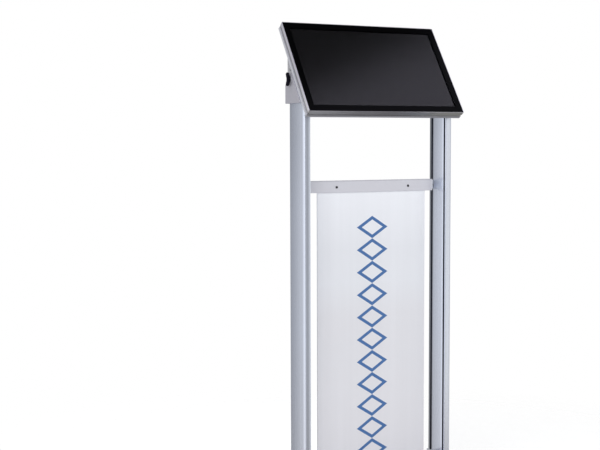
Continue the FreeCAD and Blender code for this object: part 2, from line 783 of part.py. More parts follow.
def on_eye(angle):
    """A point of the rounded end about the tilt axis."""
    turn = sized(angle)
    return S.pivot_y + S.eye_radius * cosine(turn), S.pivot_z + S.eye_radius * sine(turn)


def head_bracket(name, side):
    """Casting that closes the top of a post and rises beside the head as a cheek with the pivot eye."""
    body = new_body("head_bracket_" + name)
    back = S.head_deep + 7.6
    foot, roof = S.cheek_foot, S.post_top + S.roof_thick
    rear = S.cheek_rear
    lean_top = S.pivot_y - S.eye_radius * cosine(S.tilt), S.pivot_z + S.eye_radius * sine(S.tilt)
    cheek = [(lean_y(foot, back), foot), lean_top, (S.pivot_y, S.pivot_z), on_eye(30)]
    cheek += [(rear, S.cheek_shoulder), (rear, foot)]
    near, far = span_of(side, S.span, CHEEK_OUT)
    prism(body, "cheek", "YZ", near, far, Outline(cheek))
    prism(body, "eye", "YZ", near, far, Circle(S.pivot_y, S.pivot_z, S.eye_radius))
    inner = INNER - S.roof_thick
    near, far = span_of(side, inner, S.span)
    sleeve = Outline([(lean_y(foot, back), foot), (lean_y(roof, back), roof), (rear, roof), (rear, foot)])
    prism(body, "sleeve", "YZ", near, far, sleeve)
    corners = along_at(2, (side * CHEEK_OUT, rear), (side * inner, rear))
    dressed(body, "rear_corners", "Fillet", 2.5, corners)
    near, far = span_of(side, INNER, S.span)
    cut(body, "post_seat", "XY", foot, S.post_top, box(near, far, POST_FRONT - 1, POST_REAR))
    hollow = box(near, far, POST_REAR + S.roof_thick, rear - S.roof_thick)
    cut(body, "hollow", "XY", foot, S.post_top, hollow)
    near, far = span_of(side, S.span, CHEEK_OUT)
    cut(body, "pivot_hole", "YZ", near, far, Circle(S.pivot_y, S.pivot_z, S.pivot_hole))
    near, far = span_of(side, inner, INNER)
    cut(body, "slot_holes", "YZ", near, far, *[covered_hole(CHANNEL_Y, z, S.slot_hole) for z in SLOT_SCREW_Z])


def in_head(y, z):
    """A point of the stand's YZ plane in the head's own frame: back from the glass, up along it."""
    back, up = sized(y) - S.glass_y, sized(z) - S.glass_z
    return back * cosine(S.tilt) - up * sine(S.tilt), back * sine(S.tilt) + up * cosine(S.tilt)


def on_ear_eye(angle):
    eye = in_head(S.pivot_y, S.pivot_z)
    turn = S.tilt + angle
    return eye[0] + S.eye_radius * cosine(turn), eye[1] + S.eye_radius * sine(turn)


def tilt_ear(name, side):
    """Ear on the back of the head: a plate with the pivot eye and a flange on the rear shell."""
    body = new_body("tilt_ear_" + name)
    back, low, high = S.head_deep, S.ear_low, S.ear_high
    eye = in_head(S.pivot_y, S.pivot_z)
    meet = in_head(S.ear_rear, lean_z(S.ear_rear, back))
    plate = [(back, low), meet, in_head(S.ear_rear, S.pivot_z + 17.4)]
    plate += [on_ear_eye(-20), eye, on_ear_eye(-97)]
    near, far = span_of(side, EAR_IN, EAR_OUT)
    prism(body, "plate", "YZ", near, far, Outline(plate))
    prism(body, "eye", "YZ", near, far, Circle(eye[0], eye[1], S.eye_radius))
    near, far = span_of(side, EAR_IN - S.flange_wide, EAR_IN)
    prism(body, "flange", "XZ", back, back + S.plate_thick, box(near, far, low, high))
    corners = [(side * (EAR_IN - S.flange_wide), z) for z in (low, high)]
    dressed(body, "flange_corners", "Fillet", 5, along_at(1, *corners))
    near, far = span_of(side, EAR_IN, EAR_OUT)
    rod = in_head(S.rod_y, S.rod_z)
    pivot, rod_hole = Circle(eye[0], eye[1], S.pivot_hole), covered_hole(rod[0], rod[1], S.slot_hole)
    cut(body, "ear_holes", "YZ", near, far, pivot, rod_hole)
    own_screws = [covered_hole(x, z, S.ear_hole) for x, z in ear_screw_places() if x.value * side > 0]
    cut(body, "screw_holes", "XZ", back, back + S.plate_thick, *own_screws)
    set_on_head(body)


def ear_screw_places():
    """Across and up along the glass."""
    return [(side * (EAR_IN - 14), S.ear_low + step) for side in SIDES.values() for step in (16, 96)]


def knob_washers():
    master = pattern_piece("knob_washer")
    bore = S.stud_radius + 0.2
    prism(master, "washer", "XY", 0, WASHER_THICK, Circle(0, 0, 11), Circle(0, 0, bore))
    places = [pointing(V(side, 0, 0), side * CHEEK_OUT, S.pivot_y, S.pivot_z) for side in SIDES.values()]
    group("knob_washers", master, places)


def friction_discs():
    master = pattern_piece("friction_disc")
    bore = S.stud_radius + 0.2
    prism(master, "disc", "XY", 0, DISC_THICK, Circle(0, 0, 16), Circle(0, 0, bore))
    places = [pointing(V(-side, 0, 0), side * S.span, S.pivot_y, S.pivot_z) for side in SIDES.values()]
    group("friction_discs", master, places)


def ear_nuts():
    master = pattern_piece("ear_nut")
    prism(master, "nut", "XY", 0, 6, polygon(6, 13 / math.sqrt(3)))
    cut(master, "thread", "XY", 0, 6, Circle(0, 0, S.pivot_hole))
    places = [pointing(V(-side, 0, 0), side * EAR_IN, S.pivot_y, S.pivot_z) for side in SIDES.values()]
    group("ear_nuts", master, places)


def ear_tie_rod():
    body = new_body("ear_tie_rod")
    prism(body, "rod", "YZ", -EAR_IN, EAR_IN, Circle(S.rod_y, S.rod_z, 6))
    cut(body, "bore", "YZ", -EAR_IN, EAR_IN, Circle(S.rod_y, S.rod_z, 2.6))


def tie_rod_screws():
    master = screw("tie_rod_screw", 5, 2.8, 2.5, 18)
    places = [pointing(V(side, 0, 0), side * EAR_OUT, S.rod_y, S.rod_z) for side in SIDES.values()]
    group("tie_rod_screws", master, places)


def ear_screws():
    master = screw("ear_screw", 4.7, 2.7, 2.3, 8)
    head = head_placement()
    seat = S.head_deep + S.plate_thick
    places = [head.multiply(pointing(V(0, 1, 0), x, seat, z)) for x, z in ear_screw_places()]
    group("ear_screws", master, places)


def knob_placement(side):
    """Local Z points outward from the cheek, local Y points up."""
    turn = FreeCAD.Rotation(V(0, side, 0), V(0, 0, 1), V(side, 0, 0), "ZXY")
    return FreeCAD.Placement(V(side * KNOB_SEAT.value, S.pivot_y.value, S.pivot_z.value), turn)


def clamp_knob(name, side):
    """Wing knob: a low hub between two wings that rise outward, with a scooped top."""
    body = new_body("clamp_knob_" + name)
    half, high = S.knob_half, S.knob_high
    deep, hub = S.knob_deep, S.hub_radius
    tip = [(half - 5, 1), (half - 1.2, 2.6), (half, 5.4), (half - 1, high - 0.8), (half - 3.2, high)]
    wing = [(-hub, 0), (hub, 0)] + tip + [(-a, b) for a, b in reversed(tip)]
    prism(body, "wings", "YZ", -deep, deep, Outline(wing, {6: S.knob_scoop}))
    around = box(-deep - 2, deep + 2, -half - 2, half + 2)
    cut(body, "end_rounds", "XY", 0, high, around, rounded(sized(0), deep, half, deep - 0.6))
    prism(body, "hub", "XY", 0, S.hub_high, Circle(0, 0, hub))
    cut(body, "stud_bore", "XY", 0, S.knob_bore, Circle(0, 0, S.stud_radius + 0.05))
    body.Placement = knob_placement(side)
    body.setExpression("Placement.Base.x", (side * KNOB_SEAT).text)
    body.setExpression("Placement.Base.y", S.pivot_y.text)
    body.setExpression("Placement.Base.z", S.pivot_z.text)
    doc.recompute()


def clamp_stud(name, side):
    body = new_body("clamp_stud_" + name)
    inside = EAR_IN - 8 - KNOB_SEAT
    radius = S.stud_radius
    corners = [(0, inside), (radius - 1, inside), (radius, inside + 1)]
    corners += [(radius, S.knob_bore), (0, S.knob_bore)]
    turned(body, "stud", corners)
    body.Placement = knob_placement(side)


# Screen head, drawn upright in its own frame

def front_frame():
    body = new_body("front_frame")
    half, low, high = S.glass_half + S.rim, -S.rim, S.glass_high + S.rim
    prism(body, "frame", "XZ", 0, S.frame_deep, box(-half, half, low, high))
    dressed(body, "frame_corners", "Fillet", 3, along(1))
    band = S.band_deep
    outside = box(-half - 2, half + 2, low - 2, high + 2)
    inside = box(-half + band, half - band, low + band, high - band)
    cut(body, "band", "XZ", S.band_start, S.frame_deep, outside, inside)
    rebate = box(-S.glass_half - 0.15, S.glass_half + 0.15, -0.15, S.glass_high + 0.15)
    cut(body, "rebate", "XZ", 0, S.glass_thick + 0.2, rebate)
    window = box(-S.glass_half + 10, S.glass_half - 10, 10, S.glass_high - 10)
    cut(body, "window", "XZ", 0, S.frame_deep, window)
    cavity = box(-INSIDE_X, INSIDE_X, S.side_wall, INSIDE_TOP)
    cut(body, "cavity", "XZ", 6.4, S.frame_deep, cavity)
    set_on_head(body)


def frame_corner_keys():
    """Angle pieces in the frame's mitred corners, drawn for the lower right one."""
    master = pattern_piece("corner_key")
    reach, wide = 40, 8
    right, low = INSIDE_X, S.side_wall
    key = [(right, low), (right, low + reach), (right - wide, low + reach), (right - wide, low + wide)]
    key += [(right - reach, low + wide), (right - reach, low)]
    prism(master, "key", "XZ", 11.5, S.frame_deep, Outline(key))
    cut(master, "thread", "XZ", 11.5, S.frame_deep, polygon(6, 1.7, right - 5, low + 5))
    feature = doc.addObject("Part::Feature", "frame_corner_keys")
    feature.Label = "frame_corner_keys"
    lower = [master.Shape, master.Shape.mirror(V(0, 0, 0), V(1, 0, 0))]
    middle = V(0, 0, S.glass_high.value / 2)
    upper = [shape.mirror(middle, V(0, 0, 1)) for shape in lower]
    feature.Shape = Part.makeCompound([solid for shape in lower + upper for solid in shape.Solids])
    feature.Placement = head_placement()
    SUB_PARTS.append(feature)


def cover_glass():
    body = new_body("cover_glass")
    prism(body, "glass", "XZ", 0.2, S.glass_thick + 0.2, box(-S.glass_half, S.glass_half, 0, S.glass_high))
    dressed(body, "glass_corners", "Fillet", 1.5, along(1))
    set_on_head(body)


def screen_module():
    """Screen panel and the backlight unit behind it."""
    half, low, high = S.module_half, S.module_low, S.module_high
    face = S.glass_thick + 0.2
    panel = new_body("lcd_panel")
    back = face + S.module_layer
    prism(panel, "module", "XZ", face, back, box(-half, half, low, high))
    cut(panel, "active_area", "XZ", face, face + 0.4, box(-238, 238, 23.5, 293.5))
    set_on_head(panel)
    light = new_body("backlight_unit")
    tray_back = back + S.module_layer
    prism(light, "tray", "XZ", back, tray_back, box(-half, half, low, high))
    rails = [box(-200, 200, z, z + 22) for z in (60, 235)]
    prism(light, "stiffeners", "XZ", tray_back, tray_back + 2, *rails)
    set_on_head(light)


def panel_rails():
    """Channel rails that hold the screen module in the frame, left and right."""
    master = pattern_piece("panel_rail")
    inner, outer = S.module_half, INSIDE_X
    front, rear = sized(6.4), sized(17.4)
    channel = [(inner, front), (outer, front), (outer, rear), (inner, rear), (inner, rear - 2)]
    channel += [(outer - 2, rear - 2), (outer - 2, front + 2), (inner, front + 2)]
    prism(master, "rail", "XY", 50, 270, Outline(channel))
    feature = doc.addObject("Part::Feature", "panel_rails")
    feature.Label = "panel_rails"
    pair = [master.Shape, master.Shape.mirror(V(0, 0, 0), V(1, 0, 0))]
    feature.Shape = Part.makeCompound([solid for shape in pair for solid in shape.Solids])
    feature.Placement = head_placement()
    SUB_PARTS.append(feature)


def rear_shell():
    body = new_body("rear_shell")
    half, low, high = S.glass_half + S.rim, -S.rim, S.glass_high + S.rim
    prism(body, "shell", "XZ", S.frame_deep, S.head_deep, box(-half, half, low, high))
    dressed(body, "shell_corners", "Fillet", 3, along(1))
    dressed(body, "shell_rim", "Chamfer", 2, in_plane(1, S.head_deep))
    right, bottom, top = INSIDE_X, S.side_wall, INSIDE_TOP
    boss = 12
    inside = [(-right + boss, bottom), (right - boss, bottom), (right - boss, bottom + boss)]
    inside += [(right, bottom + boss), (right, top - boss), (right - boss, top - boss)]
    inside += [(right - boss, top), (-right + boss, top), (-right + boss, top - boss)]
    inside += [(-right, top - boss), (-right, bottom + boss), (-right + boss, bottom + boss)]
    floor = S.head_deep - S.shell_wall
    cut(body, "inside", "XZ", S.frame_deep, floor, Outline(inside))
    cut(body, "cable_window", "XZ", floor, S.head_deep, box(-60, 60, 72, 128))
    sides = [span_of(side, S.speaker_x - 20, S.speaker_x + 20) for side in SIDES.values()]
    pair = [box(near, far, 32, 34.8) for near, far in sides]
    slot = cut(body, "speaker_slot", "XZ", floor, S.head_deep, *pair)
    row(body, "speaker_slots", slot, "Z", 19.2, 5)
    vent = cut(body, "vent", "XZ", floor, S.head_deep, box(-110, -106.8, 268, 296))
    row(body, "vents", vent, "X", 216.8, 17)
    corners = [(side * (right - 5), z) for side in SIDES.values() for z in (bottom + 5, top - 5)]
    holes = [covered_hole(x, z, S.shell_hole) for x, z in corners]
    cut(body, "screw_holes", "XZ", S.frame_deep, S.head_deep, *holes)
    fixings = [covered_hole(x, z, S.ear_hole) for x, z in ear_screw_places()]
    fixings += [covered_hole(x, z, S.cover_hole) for x, z in cover_screw_places()]
    cut(body, "fixing_holes", "XZ", floor, S.head_deep, *fixings)
    set_on_head(body)


def shell_screws():
    master = screw("shell_screw", 3, 1.8, 1.45, 16)
    head = head_placement()
    right, bottom, top = INSIDE_X, S.side_wall, INSIDE_TOP
    corners = [(side * (right - 5), z) for side in SIDES.values() for z in (bottom + 5, top - 5)]
    places = [head.multiply(pointing(V(0, 1, 0), x, S.head_deep, z)) for x, z in corners]
    group("shell_screws", master, places)


# Service cover and what it covers

SOCKETS = [("network", -62, 16, 7), ("video", -28, 15, 5), ("data", 6, 14, 7), ("sound", 36, 8, 7)]
SOCKET_FACE = S.cover_low + 0.2
MOUTH_DEEP = 3.6
INLET_X = -100
BUTTON_X = 88
BUTTON_RADIUS = 3.5
BUTTON_BACK = S.board_back + S.board_thick + 4.4


def service_cover():
    """Folded sheet cover with louvre slots, and openings in its lower wall for the sockets."""
    body = new_body("service_cover")
    half, low, high = S.cover_half, S.cover_low, S.cover_high
    base, rear = S.head_deep, S.head_deep + S.cover_deep
    prism(body, "cover", "XZ", base, rear, box(-half, half, low, high))
    dressed(body, "cover_corners", "Fillet", 4, along(1))
    dressed(body, "cover_rim", "Chamfer", 2.5, in_plane(1, rear))
    tabs = [box(side * half - 12, side * half + 12, z - 8, z + 8)
            for side in SIDES.values() for z in (low + 22, high - 22)]
    prism(body, "tabs", "XZ", base, base + S.cover_wall, *tabs)
    wall = S.cover_wall
    inside = box(-half + wall, half - wall, low + wall, high - wall)
    cut(body, "inside", "XZ", base, rear - wall, inside)
    pair = [box(-118, -62, 76, 79.2), box(62, 118, 76, 79.2)]
    slot = cut(body, "louvre", "XZ", rear - wall, rear, *pair)
    row(body, "louvres", slot, "Z", 72, 7)
    front = S.board_back + S.board_thick
    openings = [box(x - wide / 2 - 0.3, x + wide / 2 + 0.3, front - 0.3, front + tall + 0.3)
                for _, x, wide, tall in SOCKETS]
    openings.append(box(INLET_X - 5.3, INLET_X + 5.3, front - 0.3, front + 8.3))
    openings.append(Circle(BUTTON_X, BUTTON_BACK, BUTTON_RADIUS + 0.08))
    cut(body, "socket_openings", "XY", low, low + wall, *openings)
    holes = [covered_hole(x, z, S.cover_hole) for x, z in cover_screw_places()]
    cut(body, "screw_holes", "XZ", base, base + wall, *holes)
    set_on_head(body)


def cover_screw_places():
    """Across and up along the glass."""
    heights = (S.cover_low + 22, S.cover_high - 22)
    return [(side * (S.cover_half + 6), z) for side in SIDES.values() for z in heights]


def cover_screws():
    master = screw("cover_screw", 3.4, 2, 2, 4)
    head = head_placement()
    seat = S.head_deep + S.cover_wall
    places = [head.multiply(pointing(V(0, 1, 0), x, seat, z)) for x, z in cover_screw_places()]
    group("cover_screws", master, places)


def main_board():
    """Circuit board on standoffs, with chips and a finned heat sink."""
    body = new_body("main_board")
    front, rear = S.board_back, S.board_back + S.board_thick
    prism(body, "board", "XZ", front, rear, box(-120, 112, 42, 146))
    posts = [polygon(6, 3.2, x, z) for x in (-112, 104) for z in (50, 138)]
    prism(body, "standoffs", "XZ", S.head_deep, front, *posts)
    chips = [box(-60, -38, 98, 120), box(56, 74, 108, 118), box(56, 74, 90, 100), box(-100, -84, 96, 128)]
    prism(body, "chips", "XZ", rear, rear + 2, *chips)
    prism(body, "sink_base", "XZ", rear, rear + 3, box(-18, 26, 88, 132))
    fin = prism(body, "fin", "XZ", rear + 3, rear + 7.5, box(-18, 26, 88, 89.4))
    row(body, "fins", fin, "Z", 42.6, 8)
    set_on_head(body)


def signal_sockets():
    master = pattern_piece("socket_row")
    front = S.board_back + S.board_thick
    for kind, x, wide, tall in SOCKETS:
        prism(master, kind, "XZ", front, front + tall, box(x - wide / 2, x + wide / 2, SOCKET_FACE, 56))
    mouths = [box(x - wide / 2 + 1.2, x + wide / 2 - 1.2, front + 1.2, front + tall - 1.2)
              for _, x, wide, tall in SOCKETS]
    cut(master, "mouths", "XY", SOCKET_FACE, SOCKET_FACE + MOUTH_DEEP, *mouths)
    feature = doc.addObject("Part::Feature", "signal_sockets")
    feature.Label = "signal_sockets"
    feature.Shape = Part.makeCompound(master.Shape.Solids)
    SUB_PARTS.append(feature)
    feature.Placement = head_placement()


def power_parts():
    """Power inlet, and the switch with its push button."""
    front = S.board_back + S.board_thick
    inlet = new_body("dc_inlet")
    low = SOCKET_FACE
    prism(inlet, "housing", "XZ", front, front + 8, box(INLET_X - 5, INLET_X + 5, low, 54))
    cut(inlet, "mouth", "XY", low, low + MOUTH_DEEP, Circle(INLET_X, front + 4, 3))
    set_on_head(inlet)
    switch = new_body("power_switch")
    prism(switch, "case", "XZ", front, front + 7.5, box(BUTTON_X - 5, BUTTON_X + 5, 44.6, 56))
    prism(switch, "plunger", "XY", 43.6, 44.6, Circle(BUTTON_X, BUTTON_BACK, 1.6))
    set_on_head(switch)
    button = new_body("power_button")
    radius = sized(BUTTON_RADIUS)
    wall_top = S.cover_low + S.cover_wall
    profile = [(0, S.cover_low - 1.8), (radius, S.cover_low - 1.8)]
    profile += [(radius, wall_top + 0.2), (radius + 0.6, wall_top + 0.2), (radius + 0.6, wall_top + 1.2)]
    profile += [(2, wall_top + 1.2), (2, 42.2), (0, 42.2)]
    turned(button, "cap", profile)
    set_on_head(button)
    middle = FreeCAD.Placement(V(BUTTON_X, BUTTON_BACK.value, 0), FreeCAD.Rotation())
    for path in ("Placement.Base.y", "Placement.Base.z"):
        button.setExpression(path, None)
    button.Placement = head_placement().multiply(middle)
    doc.recompute()


def driver_board():
    """Backlight driver board inside the rear shell, on standoffs from its back wall."""
    body = new_body("driver_board")
    floor = S.head_deep - S.shell_wall
    prism(body, "board", "XZ", 24.4, 26, box(-70, 90, 196, 226))
    prism(body, "standoffs", "XZ", 26, floor, *[polygon(6, 3.2, x, 211) for x in (-62, 82)])
    prism(body, "coils", "XZ", 20.4, 24.4, *[polygon(8, 7, x, 211) for x in (-36, -12, 12, 36)])
    set_on_head(body)


def speaker(name, side):
    body = new_body("speaker_" + name)
    floor = S.head_deep - S.shell_wall
    middle = side * S.speaker_x
    prism(body, "box", "XZ", 18.4, floor, box(middle - 30, middle + 30, S.speaker_up - 19, S.speaker_up + 19))
    dressed(body, "box_corners", "Chamfer", 4, along(1))
    cut(body, "cone", "XZ", floor - 4, floor, Circle(middle, S.speaker_up, S.cone_radius))
    prism(body, "dome", "XZ", floor - 4, floor - 2.5, polygon(8, 6, middle, S.speaker_up))
    set_on_head(body)


def build():
    base_plate()
    rubber_feet()
    base_screws()
    for name, side in SIDES.items():
        post_foot(name, side)
        post(name, side)
        head_bracket(name, side)
        tilt_ear(name, side)
        clamp_knob(name, side)
        clamp_stud(name, side)
        speaker(name, side)
        slot_bracket("upper", name, S.upper_bar)
        slot_bracket("lower", name, S.lower_bar)
        bar_end_cap("upper", name, S.upper_bar)
        bar_end_cap("lower", name, S.lower_bar)
    crossbar("upper_crossbar", S.upper_bar, False)
    crossbar("lower_crossbar", S.lower_bar, True)
    info_panel()
    panel_screws()
    crossbar_screws()
    slot_screws()
    slot_nuts()
    knob_washers()
    friction_discs()
    ear_nuts()
    ear_tie_rod()
    tie_rod_screws()
    ear_screws()
    front_frame()
    frame_corner_keys()
    cover_glass()
    screen_module()
    panel_rails()
    rear_shell()
    shell_screws()
    service_cover()
    cover_screws()
    main_board()
    signal_sockets()
    power_parts()
    driver_board()


def check():
    doc.recompute()
    for item in doc.Objects:
        if "Invalid" in item.State or "Error" in item.State:
            raise RuntimeError("%s is %s" % (item.Label, item.State))
    for part in SUB_PARTS:
        if part.Shape.isNull() or not part.Shape.isValid():
            raise RuntimeError("%s has no valid shape" % part.Label)


def export():
    os.makedirs("parts", exist_ok=True)
    for part in SUB_PARTS:
        part.Shape.exportStep("parts/%s.step" % part.Label)
        print(part.Label, len(part.Shape.Solids), "solids, %.1f cm3" % (part.Shape.Volume / 1000))
    print(len(SUB_PARTS), "sub-parts")


build()
check()
export()
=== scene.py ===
import json
import math

import bmesh
import bpy
from mathutils import Matrix, Vector

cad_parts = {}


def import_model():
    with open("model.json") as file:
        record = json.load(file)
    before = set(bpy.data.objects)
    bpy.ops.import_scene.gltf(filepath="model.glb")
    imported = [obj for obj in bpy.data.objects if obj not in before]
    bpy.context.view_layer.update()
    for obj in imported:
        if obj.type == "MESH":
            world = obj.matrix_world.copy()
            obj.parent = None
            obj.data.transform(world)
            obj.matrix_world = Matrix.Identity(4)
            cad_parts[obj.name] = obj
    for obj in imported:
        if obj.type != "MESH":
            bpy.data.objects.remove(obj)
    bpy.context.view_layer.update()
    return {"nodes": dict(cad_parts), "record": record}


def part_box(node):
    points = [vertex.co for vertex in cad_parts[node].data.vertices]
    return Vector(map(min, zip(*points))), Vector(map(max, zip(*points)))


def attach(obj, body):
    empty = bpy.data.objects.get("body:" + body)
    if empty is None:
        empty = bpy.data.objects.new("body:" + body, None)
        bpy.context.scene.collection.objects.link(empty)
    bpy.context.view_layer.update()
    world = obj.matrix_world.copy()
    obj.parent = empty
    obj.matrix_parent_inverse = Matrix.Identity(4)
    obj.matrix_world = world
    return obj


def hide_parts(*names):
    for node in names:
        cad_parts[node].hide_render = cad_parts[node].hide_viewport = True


# Looks of the digital signage stand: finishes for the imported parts, the small pieces that the solids leave
# out, and a white studio seen from the photograph's place. Metres, X right, Y back, Z up.

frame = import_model()

MM = 0.001

# The head's own frame: X across, Y back from the glass, Z up along it, from the glass's lower edge
TILT = math.radians(34.6)
GLASS_FOOT = Vector((0, -0.100, 1.190))
HEAD = Matrix.Translation(GLASS_FOOT) @ Matrix.Rotation(-TILT, 4, "X")
# In that frame: half the width of the glass, and how far behind it the head's back lies
GLASS_HALF = 0.259
HEAD_DEEP = 0.031


def srgb(red, green, blue):
    """A colour given in the photograph's 0 to 255 values, as linear light."""
    def linear(value):
        value = value / 255
        return value / 12.92 if value <= 0.04045 else ((value + 0.055) / 1.055) ** 2.4
    return linear(red), linear(green), linear(blue), 1.0


def scaled(colour, factor):
    return tuple(min(1.0, part * factor) for part in colour[:3]) + (1.0,)


# Node trees

# Most of a noise texture lies between these values
NOISE_LOW = 0.3
NOISE_HIGH = 0.7


class Nodes:
    """Short ways to build one node tree."""

    def __init__(self, tree):
        self.tree = tree

    def add(self, kind, **values):
        node = self.tree.nodes.new(kind)
        for key, value in values.items():
            setattr(node, key, value)
        return node

    def link(self, source, target):
        self.tree.links.new(source, target)

    def calc(self, operation, first, second=0.0):
        """One Math node; either side may be a socket or a number."""
        node = self.add("ShaderNodeMath", operation=operation)
        for socket, value in zip(node.inputs, (first, second)):
            if isinstance(value, (int, float)):
                socket.default_value = value
            else:
                self.link(value, socket)
        return node.outputs[0]

    def both(self, first, second):
        """The product, which for two masks is where both are 1."""
        return self.calc("MULTIPLY", first, second)

    def over(self, value, limit):
        return self.calc("GREATER_THAN", value, limit)

    def under(self, value, limit):
        return self.calc("LESS_THAN", value, limit)

    def distance(self, value, middle=0.0):
        """How far a value is from the middle, to either side."""
        return self.calc("ABSOLUTE", self.calc("SUBTRACT", value, middle))

    def between(self, factor, low, high, start=NOISE_LOW, end=NOISE_HIGH, shape="LINEAR"):
        """Runs from low to high while the factor runs from start to end."""
        node = self.add("ShaderNodeMapRange", interpolation_type=shape)
        ends = {"From Min": start, "From Max": end, "To Min": low, "To Max": high}
        for name, value in ends.items():
            node.inputs[name].default_value = value
        self.link(factor, node.inputs["Value"])
        return node.outputs["Result"]

    def grown(self, value, start, end, shape="LINEAR"):
        """A mask that is 0 at the start and 1 at the end, which may lie on either side of the start."""
        return self.between(value, 0.0, 1.0, start, end, shape)

    def parts(self, vector):
        node = self.add("ShaderNodeSeparateXYZ")
        self.link(vector, node.inputs["Vector"])
        return node.outputs

    def ramp(self, factor, stops):
        node = self.add("ShaderNodeValToRGB")
        elements = node.color_ramp.elements
        while len(elements) < len(stops):
            elements.new(0.5)
        for element, (place, colour) in zip(elements, stops):
            element.position = place
            element.color = colour
        self.link(factor, node.inputs["Fac"])
        return node.outputs["Color"]

    def mixed(self, share, base, colour, blend="MIX"):
        """The base colour, changed by the second colour as far as the share says."""
        node = self.add("ShaderNodeMix", data_type="RGBA", blend_type=blend)
        # The sockets for colours share their names with others, so they are taken by their places
        factor, first, second, result = node.inputs[0], node.inputs[6], node.inputs[7], node.outputs[2]
        self.link(share, factor)
        self.link(base, first)
        second.default_value = (*colour, 1)
        return result

    def either(self, share, first, second):
        """The second shader where the share is 1, else the first."""
        node = self.add("ShaderNodeMixShader")
        self.link(share, node.inputs["Fac"])
        self.link(first.outputs[0], node.inputs[1])
        self.link(second.outputs[0], node.inputs[2])
        return node


class Paint(Nodes):
    """A material round one Principled shader, with textures in the stand's own coordinates."""

    SOCKETS = {"metallic": "Metallic", "roughness": "Roughness", "specular": "Specular IOR Level",
               "coat": "Coat Weight", "coat_roughness": "Coat Roughness", "color": "Base Color"}

    def __init__(self, name):
        self.material = bpy.data.materials.new(name)
        self.material.use_nodes = True
        super().__init__(self.material.node_tree)
        self.shader = self.tree.nodes["Principled BSDF"]
        self.coordinates = self.add("ShaderNodeTexCoord").outputs["Object"]

    def set(self, **values):
        for key, value in values.items():
            self.shader.inputs[self.SOCKETS[key]].default_value = value
        return self

    def stretched(self, scale, turn=(0, 0, 0)):
        mapping = self.add("ShaderNodeMapping")
        mapping.inputs["Scale"].default_value = scale
        mapping.inputs["Rotation"].default_value = turn
        self.link(self.coordinates, mapping.inputs["Vector"])
        return mapping.outputs["Vector"]

    def noise(self, scale, detail, roughness=0.55):
        node = self.add("ShaderNodeTexNoise")
        node.inputs["Scale"].default_value = 1.0
        node.inputs["Detail"].default_value = detail
        node.inputs["Roughness"].default_value = roughness
        self.link(self.stretched(scale), node.inputs["Vector"])
        return node.outputs["Fac"]

    def even_noise(self, scale, detail):
        return self.noise([scale] * 3, detail)

    def drawn_noise(self, axis, across, long, detail, roughness=0.55):
        """Noise that is drawn out along one axis."""
        scale = [across] * 3
        scale["XYZ".index(axis)] = long
        return self.noise(scale, detail, roughness)

    def colour_from(self, noise, colour, spread):
        """The base colour, a little darker and paler with the noise."""
        stops = [(NOISE_LOW, scaled(colour, 1 - spread)), (NOISE_HIGH, scaled(colour, 1 + spread))]
        self.link(self.ramp(noise, stops), self.shader.inputs["Base Color"])
        return self

    def roughness_from(self, noise, low, high):
        self.link(self.between(noise, low, high), self.shader.inputs["Roughness"])
        return self

    def bump_from(self, factor, height, strength=0.4):
        """Adds a bump on top of the one that the shader has already."""
        node = self.add("ShaderNodeBump")
        node.inputs["Distance"].default_value = height
        node.inputs["Strength"].default_value = strength
        self.link(factor, node.inputs["Height"])
        normal = self.shader.inputs["Normal"]
        if normal.is_linked:
            self.link(normal.links[0].from_socket, node.inputs["Normal"])
        self.link(node.outputs["Normal"], normal)
        return self

    def axes(self):
        """The stand's own coordinates, as separate sockets."""
        return self.parts(self.coordinates)

    def in_head(self):
        """Coordinates in the head's own frame, as separate sockets."""
        local = self.add("ShaderNodeMapping", vector_type="TEXTURE")
        local.inputs["Location"].default_value = GLASS_FOOT
        local.inputs["Rotation"].default_value = (-TILT, 0, 0)
        self.link(self.coordinates, local.inputs["Vector"])
        return self.parts(local.outputs["Vector"])

    def rougher(self, mask, more):
        """Adds to the roughness where the mask is 1."""
        socket = self.shader.inputs["Roughness"]
        base = socket.links[0].from_socket
        self.link(self.calc("ADD", base, self.both(mask, more)), socket)
        return self

    def tinted(self, mask, factors):
        """Multiplies the base colour by the factors where the mask is 1."""
        colour = self.shader.inputs["Base Color"]
        self.link(self.mixed(mask, colour.links[0].from_socket, factors, "MULTIPLY"), colour)
        return self

    def toned(self, along, tones, mask=1.0):
        """Tints that each grow from a start to an end along one coordinate, where the mask is 1."""
        for start, end, factors in tones:
            self.tinted(self.both(self.grown(along, start, end), mask), factors)
        return self


# Finishes

# Texture scales across and along the way that metal is drawn: its fine streaks, and wide clouds of tone
FINE_STREAKS = 2600.0
LONG_STREAKS = 9.0
FINE_CLOUDS = 6.0
LONG_CLOUDS = 1.2


def brushed(name, colour, roughness, axis):
    """Drawn or brushed metal: fine streaks that run along one axis."""
    paint = Paint(name).set(metallic=1.0)
    lines = paint.drawn_noise(axis, FINE_STREAKS, LONG_STREAKS, 2, 0.5)
    paint.colour_from(paint.drawn_noise(axis, FINE_CLOUDS, LONG_CLOUDS, 4, 0.6), colour, 0.05)
    paint.roughness_from(lines, roughness - 0.06, roughness + 0.06)
    return paint.bump_from(lines, 0.00004, 0.25)


def coated(name, colour, roughness, metallic, grain=900.0):
    """Sprayed or powder coat: a fine even orange peel."""
    paint = Paint(name).set(metallic=metallic)
    paint.colour_from(paint.even_noise(5.0, 4), colour, 0.03)
    paint.roughness_from(paint.even_noise(60.0, 3), roughness - 0.05, roughness + 0.05)
    return paint.bump_from(paint.even_noise(grain, 2), 0.00005, 0.3)


